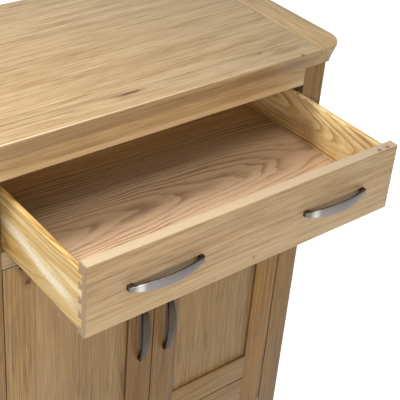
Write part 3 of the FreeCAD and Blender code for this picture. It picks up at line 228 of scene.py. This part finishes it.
def build_log_figure():
    """Rings, fibres, pores and clouds of a log whose heart runs along the incoming vector's X axis."""
    inputs = {
        "Vector": ("Vector", (0.0, 0.0, 0.0)),
        "Ring Width": ("Float", 0.006),
        "Wander": ("Float", 0.010),
    }
    outputs = {"Rings": "Float", "Fibres": "Float", "Pores": "Float", "Clouds": "Float"}
    tree, given, result = new_group("log_figure", inputs, outputs)
    place = given["Vector"]
    rings = build_rings(tree, place, given["Ring Width"], given["Wander"])
    tree.links.new(rings, result["Rings"])

    fibres = 0.0
    for kind, share in FIBRE_SHARES.items():
        fibres = maths(tree, "MULTIPLY_ADD", grain_noise(tree, place, kind), share, fibres)
    tree.links.new(fibres, result["Fibres"])

    dashes = spread(tree, grain_noise(tree, place, "pores"), PORE_START, PORE_FULL)
    near_ring = maths(tree, "MULTIPLY_ADD", rings, 0.5, 0.5)
    tree.links.new(maths(tree, "MULTIPLY", dashes, near_ring), result["Pores"])
    tree.links.new(grain_noise(tree, place, "clouds"), result["Clouds"])
    return tree


def build_patch():
    """A soft-edged oval at Centre that reaches Reach to each side; a very long reach makes a band."""
    inputs = {
        "Vector": ("Vector", (0.0, 0.0, 0.0)),
        "Centre": ("Vector", (0.0, 0.0, 0.0)),
        "Reach": ("Vector", (0.01, 0.01, 0.01)),
        "Softness": ("Float", 0.3),
        "Wobble": ("Float", 0.0),
    }
    tree, given, result = new_group("patch", inputs, {"Mask": "Float"})
    away = vector_maths(tree, "SUBTRACT", given["Vector"], given["Centre"])
    ratio = vector_maths(tree, "LENGTH", vector_maths(tree, "DIVIDE", away, given["Reach"]))
    reaches = vector_maths(tree, "DIVIDE", given["Vector"], given["Reach"])
    coarse = noise(tree, reaches, PATCH_COARSE_WAVES, 3.0)
    fine = noise(tree, given["Vector"], PATCH_FINE_WAVES, 2.0)
    ragged = maths(tree, "ADD", maths(tree, "SUBTRACT", coarse, 0.5), maths(tree, "SUBTRACT", fine, 0.5))
    ratio = maths(tree, "MULTIPLY_ADD", ragged, given["Wobble"], ratio)
    inner = maths(tree, "SUBTRACT", 1.0, given["Softness"])
    outer = maths(tree, "ADD", 1.0, given["Softness"])
    tree.links.new(spread(tree, ratio, inner, outer, 1.0, 0.0), result["Mask"])
    return tree


LOG_FIGURE = build_log_figure()
PATCH = build_patch()

# Turning that brings the grain direction of a board to the X axis of the figure.
GRAIN_TURN = {"x": (0.0, 0.0, 0.0), "y": (0.0, 0.0, -pi / 2), "z": (0.0, pi / 2, 0.0)}
# A reach longer than any board, for a mark that runs right across.
ENDLESS = 30.0
KNOT_BROWN = "4E2206"
STAIN_BROWN = "80501F"
# Colour of the seams, and of the painted shade line above the doors.
SEAM_AND_SHADE_BROWN = "65523C"
NO_TINT = (1.0, 1.0, 1.0)


def mark(centre, reach, colour, strength, softness=0.3, wobble=0.0):
    """A patch of another colour on a board or handle.

    strength is how much of the colour shows, softness how far its edge fades, wobble how ragged it is.
    """
    return {"centre": centre, "reach": reach, "colour": colour, "strength": strength,
            "softness": softness, "wobble": wobble}


def knot(centre, length, width):
    """A dark core in a stained halo; length is along X, width along Y and Z."""
    halo = mark(centre, (length * 0.9, width * 1.5, width * 1.5), STAIN_BROWN, 0.45, 0.7, 1.2)
    core = mark(centre, (length * 0.5, width * 0.5, width * 0.5), KNOT_BROWN, 0.85, 0.35, 1.0)
    return [halo, core]


def dark_line(axis, place, strength=0.5, half_width=0.0007):
    """A thin dark line at one place along the axis: where two boards meet, and once as painted shade in the
    gap above the doors.
    """
    centre = [0.0, 0.0, 0.0]
    reach = [ENDLESS, ENDLESS, ENDLESS]
    centre["xyz".index(axis)] = place
    reach["xyz".index(axis)] = half_width
    return mark(tuple(centre), tuple(reach), SEAM_AND_SHADE_BROWN, strength, 0.5)


def seam_pair(place, strength=0.5):
    """Two upright seams, at the same distance to the left and right of the middle."""
    return [dark_line("x", -place, strength), dark_line("x", place, strength)]


def with_marks(tree, coordinates, colour, marks):
    for spot in marks:
        mask = place_group(tree, PATCH, Vector=coordinates, Centre=spot["centre"], Reach=spot["reach"],
                           Softness=spot["softness"], Wobble=spot["wobble"])["Mask"]
        mask = maths(tree, "MULTIPLY", mask, spot["strength"])
        colour = blend_colours(tree, mask, colour, linear(spot["colour"]))
    return colour


class Wood:
    """Colours and figure of one kind of board; make() gives the material for one cut of it."""

    def __init__(self, colours, ring_width, ring_strength, fibre_strength, pore_strength,
                 wander=0.010, cloud_strength=0.22):
        self.pale, self.middle, self.dark = (linear(colour) for colour in colours)
        self.ring_width = ring_width
        self.ring_strength = ring_strength
        self.fibre_strength = fibre_strength
        self.pore_strength = pore_strength
        self.wander = wander
        self.cloud_strength = cloud_strength

    def make(self, name, grain, heart, tilt, marks=(), tint=NO_TINT):
        """heart is a point on the log's heart line, tilt turns that line about Y and Z, in degrees."""
        material, tree, shader = new_material(name)
        coordinates = object_coordinates(tree)
        place = self.in_log(tree, coordinates, grain, heart, tilt)
        figure = place_group(tree, LOG_FIGURE, Vector=place, Ring_Width=self.ring_width, Wander=self.wander)
        pores = maths(tree, "MULTIPLY", figure["Pores"], self.pore_strength)
        colour = self.coloured(tree, figure, pores, tint)
        colour = with_marks(tree, coordinates, colour, marks)
        tree.links.new(colour, shader.inputs["Base Color"])

        sheen = swing(tree, figure["Fibres"], 0.16, WOOD_ROUGHNESS)
        sheen = maths(tree, "MULTIPLY_ADD", pores, 0.25, sheen, clamp=True)
        tree.links.new(sheen, shader.inputs["Roughness"])
        hollows = maths(tree, "MULTIPLY", pores, -1.0)
        relief = maths(tree, "MULTIPLY_ADD", figure["Fibres"], 0.4, hollows)
        add_bump(tree, shader, relief, strength=0.3, distance=0.0003)
        shader.inputs["Specular IOR Level"].default_value = WOOD_SPECULAR
        return material

    @staticmethod
    def in_log(tree, coordinates, grain, heart, tilt):
        """A point of the board as a point of the log, whose heart line is the X axis."""
        place = coordinates
        steps = (
            ("Location", tuple(-value for value in heart)),
            ("Rotation", GRAIN_TURN[grain]),
            ("Rotation", (0.0, radians(tilt[0]), radians(tilt[1]))),
        )
        for setting, amount in steps:
            mapping = new_node(tree, "ShaderNodeMapping")
            mapping.inputs[setting].default_value = amount
            tree.links.new(place, mapping.inputs["Vector"])
            place = mapping.outputs[0]
        return place

    def coloured(self, tree, figure, pores, tint):
        """The wood's tone, from dark at 0 to pale at 1, turned to colours, with the pores drawn in."""
        fibres = spread(tree, figure["Fibres"], FIBRE_LOW, FIBRE_HIGH, smooth=False)
        tone = swing(tree, fibres, self.fibre_strength, MIDDLE_TONE)
        rings = maths(tree, "MULTIPLY", figure["Rings"], self.ring_strength)
        tone = maths(tree, "SUBTRACT", tone, rings)
        tone = swing(tree, figure["Clouds"], self.cloud_strength * 2, tone, clamp=True)

        ramp = new_node(tree, "ShaderNodeValToRGB")
        ramp.color_ramp.elements[0].color = self.tinted(self.dark, tint)
        ramp.color_ramp.elements[1].color = self.tinted(self.pale, tint)
        ramp.color_ramp.elements.new(0.5).color = self.tinted(self.middle, tint)
        tree.links.new(tone, ramp.inputs[0])
        pore_colour = (*(PORE_DARKNESS * channel for channel in self.dark[:3]), 1.0)
        return blend_colours(tree, pores, ramp.outputs[0], pore_colour)

    @staticmethod
    def tinted(colour, tint):
        return (*(min(channel * factor, 1.0) for channel, factor in zip(colour, tint)), 1.0)


# Pale, middle and dark colour, ring width, then the strength of rings, fibres and pores.
OAK_TOP = Wood(("C6AC84", "AE936B", "87683F"), 0.0060, 0.20, 1.0, 0.5)
OAK_FRONT = Wood(("C0A37A", "AB8D64", "84623B"), 0.0060, 0.22, 0.90, 0.45)
OAK_DOOR = Wood(("AC8E60", "95764D", "6C4D2D"), 0.0050, 0.20, 0.95, 0.45)
ASH = Wood(("E7D49F", "D1AE69", "A87938"), 0.0068, 0.55, 0.45, 0.15, wander=0.024, cloud_strength=0.14)
VENEER = Wood(("E4C7A3", "D5B48F", "936A49"), 0.0066, 0.50, 0.36, 0.10, wander=0.032, cloud_strength=0.12)


# Pieces. Every CAD node gets a material, and boards and handles get rounded edges.
EDGE_WIDTH = 0.0008
EDGE_SEGMENTS = 2
HANDLE_EDGE_WIDTH = 0.0010
HANDLE_EDGE_SEGMENTS = 3
MERGE_DISTANCE = 0.00001
FLAT_ANGLE = radians(0.5)
SHARP_ANGLE = radians(40)
SMOOTH_ANGLE = radians(35)


def dress(node, material):
    """Gives a CAD node its material."""
    materials = frame["nodes"][node].data.materials
    materials.clear()
    materials.append(material)


def soften(node, width=EDGE_WIDTH, segments=EDGE_SEGMENTS):
    """Replaces a node by a copy whose sharp edges are rounded."""
    body = BODY_OF[node]
    source = frame["nodes"][node]
    bpy.ops.object.select_all(action="DESELECT")
    source.select_set(True)
    bpy.context.view_layer.objects.active = source
    bpy.ops.object.duplicate()
    piece = bpy.context.object
    piece.name = f"{node}_softened"
    # Without the node's own properties, the copy is a piece like any other.
    for key in list(piece.keys()):
        del piece[key]
    bpy.ops.object.mode_set(mode="EDIT")
    bpy.ops.mesh.select_all(action="SELECT")
    bpy.ops.mesh.remove_doubles(threshold=MERGE_DISTANCE)
    bpy.ops.mesh.dissolve_limited(angle_limit=FLAT_ANGLE)
    bpy.ops.object.mode_set(mode="OBJECT")
    rounding = piece.modifiers.new("rounding", "BEVEL")
    rounding.width = width
    rounding.segments = segments
    rounding.limit_method = "ANGLE"
    rounding.angle_limit = SHARP_ANGLE
    bpy.ops.object.modifier_apply(modifier=rounding.name)
    bpy.ops.object.shade_smooth_by_angle(angle=SMOOTH_ANGLE)
    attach(piece, body)
    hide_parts(node)


def top_strip_marks(dark_lines, front_y):
    """The front strip's bevel with painted shade and a darker patch towards its right, a painted highlight
    along its upper edge, then its streaks and knots.
    """
    surface = TOP_SURFACE
    bevel_z = surface - 0.025
    marks = dark_lines + [
        # Painted shade over the bevel, which faces down.
        mark((-0.1, front_y, bevel_z), (0.60, 0.05, 0.016), "94764E", 0.45, 0.5),
        # Painted highlight along the strip's upper front edge.
        mark((-0.3, front_y, surface), (0.42, 0.0015, 0.0015), "EFDAB4", 0.7, 0.5),
        mark((0.27, front_y, bevel_z), (0.10, 0.05, 0.018), "7E5B22", 0.45, 0.6),
        mark((-0.068, -0.060, surface), (0.036, 0.0055, 0.02), "935F30", 0.6, 0.6, 1.2),
        mark((-0.066, -0.060, surface), (0.022, 0.0024, 0.02), "55290F", 1.0, 0.5, 1.0),
        mark((0.255, -0.068, surface), (0.030, 0.0085, 0.02), "8C6338", 0.60, 0.7, 1.2),
        mark((0.262, -0.090, surface - 0.018), (0.030, 0.012, 0.010), "8C6338", 0.45, 0.7, 1.0),
    ]
    marks += knot((0.209, -0.052, surface), 0.006, 0.004)
    marks += knot((0.272, -0.096, surface), 0.005, 0.003)
    return marks


def dress_top():
    surface = TOP_SURFACE
    end_x = -(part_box("top_panel")[0][0] + PANEL_TONGUE)
    strip_front, strip_back = (corner[1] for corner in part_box("top_front_strip"))
    dark_lines = seam_pair(end_x) + [dark_line("y", strip_back)]
    panel = OAK_TOP.make("oak_top_panel", "x", (0.1, 0.42, surface - 0.16), (0.5, -1.6), dark_lines)
    dress("top_panel", panel)

    marks = top_strip_marks(dark_lines, strip_front)
    heart = (0.0, -0.26, surface - 0.10)
    strip = OAK_TOP.make("oak_top_strip", "x", heart, (0.4, 0.8), marks, (1.05, 1.04, 1.03))
    dress("top_front_strip", strip)
    for side, way in SIDES:
        heart = (way * 0.62, 0.1, surface - 0.10)
        joint = [dark_line("x", way * end_x, 0.55)]
        end = OAK_TOP.make(f"oak_{side}_end", "y", heart, (0.5, 1.4 * way), joint, (1.0, 0.98, 0.93))
        dress(f"top_{side}_end", end)


def dress_drawer_front():
    low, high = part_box("drawer_front")
    edge_y = low[1] + 0.009
    marks = [
        mark((0.0, low[1], low[2]), (ENDLESS, 0.02, 0.040), "D8BC92", 0.25, 0.7, 0.3),
        # Painted highlight along the drawer front's top edge, mottled on its left part.
        mark((0.0, edge_y, high[2]), (0.6, 0.03, 0.0014), "DDC4A2", 0.65, 0.4),
        mark((-0.24, edge_y, high[2]), (0.15, 0.03, 0.0016), "C6AF8A", 0.50, 0.7, 1.2),
        mark((low[0], 0.0, 0.79), (0.0018, ENDLESS, ENDLESS), "9A7D5B", 0.75, 0.3, 0.3),
    ]
    marks += knot((0.264, low[1] + 0.004, high[2]), 0.006, 0.0035)
    marks += knot((0.282, low[1] + 0.004, high[2]), 0.006, 0.0035)
    marks += knot((0.004, low[1], 0.741), 0.003, 0.002)
    front = OAK_FRONT.make("oak_drawer_front", "x", (0.2, -0.45, 0.69), (1.2, 1.0), marks)
    dress("drawer_front", front)


def dress_drawer_sides():
    outer_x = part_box("drawer_front")[0][0]
    marks = [
        mark((outer_x, -0.27, 0.800), (0.02, 0.05, 0.0045), "FBE9BE", 0.5, 0.7, 0.8),
        mark((outer_x, -0.12, 0.822), (0.02, 0.09, 0.0035), "FBE9BE", 0.5, 0.6, 0.7),
        mark((outer_x, -0.10, 0.775), (0.02, 0.06, 0.0060), "B58A48", 0.4, 0.7, 0.8),
    ]
    # The long pale streak that runs down towards the front.
    for step in range(4):
        centre = (outer_x, -0.12 - 0.042 * step, 0.792 - 0.0075 * step)
        marks.append(mark(centre, (0.02, 0.050, 0.0085), "FFF6DC", 0.5, 0.8, 1.2))
    left = ASH.make("ash_left_drawer_side", "y", (-0.335, -0.1175, 0.755), (-5.5, 2.6), marks)
    dress("drawer_left_side", left)
    tint = (1.20, 1.34, 1.85)
    right = ASH.make("ash_right_drawer_side", "y", (0.330, -0.18, 0.800), (3.0, -6.5), tint=tint)
    dress("drawer_right_side", right)


def dress_drawer():
    dress_drawer_front()
    dress_drawer_sides()
    back_heart = (0.1, 0.12, 0.78)
    dress("drawer_back", ASH.make("ash_drawer_back", "x", back_heart, (1.0, 0.8)))
    dress("drawer_catch_blocks", ASH.make("ash_catch_blocks", "z", back_heart, (1.0, 0.8)))
    bottom = VENEER.make("veneer_drawer_bottom", "x", (-0.28, -0.128, 0.715), (-4.6, 0.8))
    dress("drawer_bottom", bottom)


# In the photograph the boards of the doors differ in tone. The lighter tint of the left door's outer stile
# is partly painted light, which falls brighter on the left of that door.
STILE_TINTS = {
    ("left", "outer"): (1.12, 1.10, 1.00),
    ("left", "inner"): (0.59, 0.47, 0.27),
    ("right", "inner"): (0.66, 0.54, 0.35),
    ("right", "outer"): (0.86, 0.70, 0.34),
}
PANEL_TINT = (0.93, 0.90, 0.83)
LEFT_STILE_KNOTS = (
    knot((-0.270, POST_FACE, 0.680), 0.010, 0.009) + knot((-0.260, POST_FACE, 0.647), 0.009, 0.008)
)


def dress_door_frame(side, way, dark_lines):
    for which, heart_x in (("outer", 0.40), ("inner", 0.15)):
        knots = LEFT_STILE_KNOTS if (side, which) == ("left", "outer") else []
        stile = OAK_DOOR.make(f"oak_{side}_{which}_stile", "z", (way * heart_x, -0.20, 0.3),
                              (0.3, 0.4 * way), dark_lines + knots, STILE_TINTS[side, which])
        dress(f"{side}_door_{which}_stile", stile)
    for level, heart_z in (("top", 0.75), ("middle", 0.10), ("bottom", 0.02)):
        rail = OAK_DOOR.make(f"oak_{side}_{level}_rail", "x", (way * 0.1, -0.22, heart_z), (0.4, 0.4),
                             dark_lines, PANEL_TINT)
        dress(f"{side}_door_{level}_rail", rail)


def dress_doors():
    low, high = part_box("right_door_panel")
    door_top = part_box("left_door_top_rail")[1][2]
    # Painted light: the left part of the left door's panel is lighter, as light falls brighter there.
    painted_light_band = mark((-0.25, low[1], 0.45), (0.055, 1.0, 0.5), "D2B07C", 0.25, 0.9)
    for side, way in SIDES:
        dark_lines = [
            dark_line("x", way * (low[0] + PANEL_TONGUE), 0.4),
            dark_line("x", way * (high[0] - PANEL_TONGUE), 0.4),
            # Painted shade: this dark line along the doors' top edge stands in for the shadow in the gap
            # above them.
            dark_line("z", door_top, 0.95, 0.0014),
        ]
        dress_door_frame(side, way, dark_lines)
        marks = dark_lines + [painted_light_band] if side == "left" else dark_lines
        panel = OAK_DOOR.make(f"oak_{side}_panel", "z", (way * 0.10, -0.20, 0.2), (0.8, 1.0),
                              marks, PANEL_TINT)
        dress(f"{side}_door_panel", panel)


def dress_front_rails():
    dark_lines = seam_pair(POST_EDGE, 0.6)
    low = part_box("front_top_rail")[0]
    pale_edge = mark((0.0, low[1], low[2]), (ENDLESS, 0.004, 0.011), "DCC094", 0.55, 0.35, 0.2)
    marks = dark_lines + [pale_edge]
    rail = OAK_FRONT.make("oak_top_rail", "x", (0.1, -0.30, 0.82), (0.5, 0.5), marks, (1.14, 1.13, 1.05))
    dress("front_top_rail", rail)
    for node, heart_z in (("front_middle_rail", 0.75), ("front_bottom_rail", 0.15)):
        rail = OAK_FRONT.make(f"oak_{node}", "x", (-0.1, -0.30, heart_z), (0.5, 0.5), dark_lines,
                              (0.84, 0.82, 0.76))
        dress(node, rail)


def dress_side(side, way):
    """Posts, side frame, side panel and drawer guides of one side of the carcass."""
    for row, heart_y in (("front", -0.20), ("back", 0.45)):
        # The posts' darker, greyer tint is partly painted shade.
        post = OAK_DOOR.make(f"oak_{row}_{side}_post", "z", (way * 0.55, heart_y, 0.4), (0.4, 0.5),
                             seam_pair(POST_EDGE, 0.6), (0.80, 0.71, 0.52))
        dress(f"{row}_{side}_post", post)
    for level, heart_z in (("top", 0.75), ("bottom", 0.20)):
        rail = OAK_DOOR.make(f"oak_{side}_side_{level}", "y", (way * 0.6, 0.1, heart_z), (0.4, 0.4))
        dress(f"{side}_side_{level}_rail", rail)
    panel = OAK_DOOR.make(f"oak_{side}_side_panel", "z", (way * 0.45, 0.12, 0.4), (0.9, 0.6))
    dress(f"{side}_side_panel", panel)
    guide = ASH.make(f"ash_{side}_runner", "y", (way * 0.4, 0.1, 0.6), (0.5, 0.5))
    dress(f"{side}_drawer_runner", guide)
    dress(f"{side}_drawer_kicker", guide)


def dress_inside_and_back():
    dress("drawer_stops", ASH.make("ash_drawer_stops", "x", (0.1, 0.12, 0.6), (1.0, 0.8)))
    dress("back_panel", VENEER.make("veneer_back_panel", "z", (0.1, 0.40, 0.4), (3.0, 0.6)))
    dress("bottom_board", VENEER.make("veneer_bottom_board", "x", (0.1, 0.10, 0.0), (3.0, 0.6)))
    dress("shelf", VENEER.make("veneer_shelf", "x", (-0.1, 0.10, 0.32), (3.0, 0.6)))
    for node, heart_z in (("back_top_rail", 0.80), ("back_bottom_rail", 0.15)):
        dress(node, OAK_DOOR.make(f"oak_{node}", "x", (0.0, 0.5, heart_z), (0.5, 0.5)))


def dress_carcass():
    dress_front_rails()
    for side, way in SIDES:
        dress_side(side, way)
    dress_inside_and_back()


# Metal and plastic.
# A lit and a shaded copy of one pewter; the shaded one, for the door handles, is painted shade.
PEWTER_IN_LIGHT = "7D7775"
PEWTER_IN_SHADE = "474036"
# Colour of the painted highlight on the drawer handles' left shoulders.
PEWTER_HIGHLIGHT = "D2CECA"
# Painted shade for the hollows at the drawer handles' feet.
FOOT_SHADE = "3C3633"
STEEL_GREY = "B4B4B0"
HANDLES = ("drawer_left_handle", "drawer_right_handle", "left_door_handle", "right_door_handle")
STEEL_PARTS = (
    "drawer_handle_screws",
    "left_door_handle_screws",
    "right_door_handle_screws",
    "shelf_pegs",
    "hinge_frame_plates",
    "left_door_hinge_plates",
    "right_door_hinge_plates",
    "left_door_catch_plate",
    "right_door_catch_plate",
)
PLASTIC_PARTS = {"magnet_catches": ("catch_brown", "4A3224"), "foot_glides": ("glide_brown", "4E453C")}
FITTINGS = (*HANDLES, *STEEL_PARTS, *PLASTIC_PARTS)


def brushed_metal(name, colour, roughness, waves, marks=()):
    """waves is how many brush lines there are in a metre along X, Y and Z."""
    material, tree, shader = new_material(name)
    coordinates = object_coordinates(tree)
    lines = noise(tree, stretched(tree, coordinates, waves), 1.0, 3.0, 0.6)
    clouds = noise(tree, coordinates, 60.0, 3.0)
    shade = swing(tree, clouds, 0.16, swing(tree, lines, 0.30, 1.0))
    tone = vector_maths(tree, "SCALE", linear(colour)[:3], scale=shade)
    tree.links.new(with_marks(tree, coordinates, tone, marks), shader.inputs["Base Color"])
    tree.links.new(swing(tree, lines, 0.25, roughness, clamp=True), shader.inputs["Roughness"])
    shader.inputs["Metallic"].default_value = 1.0
    add_bump(tree, shader, lines, strength=0.25, distance=0.0001)
    return material


def moulded_plastic(name, colour):
    material, tree, shader = new_material(name)
    coordinates = object_coordinates(tree)
    speckle = noise(tree, coordinates, 900.0, 2.0)
    clouds = noise(tree, coordinates, 45.0, 2.0)
    tone = vector_maths(tree, "SCALE", linear(colour)[:3], scale=swing(tree, clouds, 0.2, 1.0))
    tree.links.new(tone, shader.inputs["Base Color"])
    tree.links.new(maths(tree, "MULTIPLY_ADD", speckle, 0.15, 0.45), shader.inputs["Roughness"])
    add_bump(tree, shader, speckle, strength=0.2, distance=0.0001)
    return material


def dress_drawer_handle(side):
    """Pewter with a painted highlight on its left shoulder, painted shade towards its right end, and
    painted shade with some patina in the hollows at its feet.
    """
    node = f"drawer_{side}_handle"
    low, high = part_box(node)
    level = 0.5 * (low[2] + high[2])
    marks = [
        # Painted shade, darkening the strap towards its right end.
        mark((high[0] + 0.010, low[1], level), (0.075, 0.05, 0.05), "57514F", 0.70, 0.7, 0.2),
        # Painted highlight on the left shoulder.
        mark((low[0] + 0.015, low[1], level), (0.007, 0.012, 0.03), PEWTER_HIGHLIGHT, 0.75, 0.7, 0.3),
        # Painted shade in the hollows at both feet.
        mark((low[0] + 0.010, high[1], level), (0.013, 0.010, 0.02), "4B4542", 0.7, 0.6, 0.3),
        mark((high[0] - 0.010, high[1], level), (0.013, 0.010, 0.02), FOOT_SHADE, 0.8, 0.6, 0.3),
    ]
    dress(node, brushed_metal(f"pewter_{side}", PEWTER_IN_LIGHT, 0.32, (60.0, 60.0, 1800.0), marks))
    soften(node, HANDLE_EDGE_WIDTH, HANDLE_EDGE_SEGMENTS)


def dress_door_handle(side):
    """The same pewter, darkened as painted shade, with more painted shade at both feet."""
    node = f"{side}_door_handle"
    low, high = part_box(node)
    middle = 0.5 * (low[0] + high[0])
    marks = [
        # Painted shade at both feet.
        mark((middle, high[1], foot_z), (0.02, 0.020, 0.024), "2E2824", 0.7, 0.7, 0.3)
        for foot_z in (low[2] + 0.010, high[2] - 0.010)
    ]
    metal = brushed_metal(f"pewter_door_{side}", PEWTER_IN_SHADE, 0.36, (1800.0, 60.0, 60.0), marks)
    dress(node, metal)
    soften(node, HANDLE_EDGE_WIDTH, HANDLE_EDGE_SEGMENTS)


def dress_fittings():
    for side in ("left", "right"):
        dress_drawer_handle(side)
        dress_door_handle(side)
    steel = brushed_metal("zinc_steel", STEEL_GREY, 0.30, (300.0, 300.0, 300.0))
    for node in STEEL_PARTS:
        dress(node, steel)
    for node, (name, colour) in PLASTIC_PARTS.items():
        dress(node, moulded_plastic(name, colour))


# Floor, light and camera.
FLOOR_SIZE = 14.0
FLOOR_GREY = 0.80
# Seen directly, the floor glows by this much, which makes it white together with the light on it.
FLOOR_GLOW = 0.86
WORLD_LIGHT = 0.26
# Name, place, the point it shines at, diameter in metres and power in watts.
LAMPS = (
    ("left_lamp", (-1.05, 0.24, 2.05), (0.1, -0.15, 0.8), 0.4, 24.0),
    ("top_lamp", (0.35, -0.6, 3.2), (0.1, -0.2, 0.8), 0.6, 13.0),
    ("front_lamp", (-0.60, -2.2, 1.35), (-0.05, -0.3, 0.95), 0.18, 25.0),
    ("front_fill", (-2.2, -2.2, 2.4), (0.0, -0.2, 0.75), 1.4, 8.0),
)
# The camera was fitted to the straight edges in the photograph; its angles are in degrees.
CAMERA_PLACE = (-0.8833, -1.2066, 1.6982)
CAMERA_YAW = 41.565
CAMERA_PITCH = -31.993
CAMERA_ROLL = 5.643
FOCAL_PIXELS = 1018.55
AXIS_PIXEL = (218.55, 159.80)
FRAME_PIXELS = 400


def seen_directly(tree):
    """1 for camera, transmission and glossy rays, and 0 for the rays that light the object."""
    rays = new_node(tree, "ShaderNodeLightPath").outputs
    seen = maths(tree, "ADD", rays["Is Camera Ray"], rays["Is Transmission Ray"])
    return maths(tree, "ADD", seen, rays["Is Glossy Ray"], clamp=True)


def build_floor():
    bpy.ops.object.select_all(action="DESELECT")
    bpy.ops.mesh.primitive_plane_add(size=FLOOR_SIZE, location=(0.0, 0.0, 0.0))
    floor = bpy.context.object
    floor.name = "floor"
    material, tree, shader = new_material("white_floor")
    shader.inputs["Base Color"].default_value = (FLOOR_GREY, FLOOR_GREY, FLOOR_GREY, 1.0)
    shader.inputs["Roughness"].default_value = 0.9
    glow = new_node(tree, "ShaderNodeEmission")
    tree.links.new(maths(tree, "MULTIPLY", seen_directly(tree), FLOOR_GLOW), glow.inputs["Strength"])
    both = new_node(tree, "ShaderNodeAddShader")
    tree.links.new(shader.outputs[0], both.inputs[0])
    tree.links.new(glow.outputs[0], both.inputs[1])
    tree.links.new(both.outputs[0], tree.nodes["Material Output"].inputs["Surface"])
    floor.data.materials.append(material)


def build_world():
    world = bpy.data.worlds.new("studio")
    bpy.context.scene.world = world
    world.use_nodes = True
    tree = world.node_tree
    background = tree.nodes["Background"]
    background.inputs["Color"].default_value = (1.0, 1.0, 1.0, 1.0)
    level = maths(tree, "MULTIPLY_ADD", seen_directly(tree), 1.0 - WORLD_LIGHT, WORLD_LIGHT)
    tree.links.new(level, background.inputs["Strength"])


def add_lamp(name, place, target, size, power):
    lamp = bpy.data.lights.new(name, "AREA")
    lamp.shape = "DISK"
    lamp.size = size
    lamp.energy = power
    holder = bpy.data.objects.new(name, lamp)
    bpy.context.collection.objects.link(holder)
    holder.location = place
    holder.rotation_euler = (Vector(target) - Vector(place)).to_track_quat("-Z", "Y").to_euler()


def build_camera():
    camera = bpy.data.cameras.new("camera")
    camera.sensor_width = 36.0
    camera.sensor_fit = "HORIZONTAL"
    camera.lens = FOCAL_PIXELS / FRAME_PIXELS * camera.sensor_width
    camera.shift_x = 0.5 - AXIS_PIXEL[0] / FRAME_PIXELS
    camera.shift_y = AXIS_PIXEL[1] / FRAME_PIXELS - 0.5
    camera.clip_end = 50.0
    holder = bpy.data.objects.new("camera", camera)
    bpy.context.collection.objects.link(holder)
    heading = Matrix.Rotation(radians(-CAMERA_YAW), 4, "Z")
    tip = Matrix.Rotation(radians(90.0 + CAMERA_PITCH), 4, "X")
    lean = Matrix.Rotation(radians(CAMERA_ROLL), 4, "Z")
    holder.matrix_world = Matrix.Translation(CAMERA_PLACE) @ heading @ tip @ lean
    bpy.context.scene.camera = holder


dress_top()
dress_drawer()
dress_doors()
dress_carcass()
for board in sorted(node for node in frame["nodes"] if node not in FITTINGS):
    soften(board)
dress_fittings()
build_floor()
build_world()
for lamp_row in LAMPS:
    add_lamp(*lamp_row)
build_camera()
bpy.context.scene.view_settings.view_transform = "Standard"
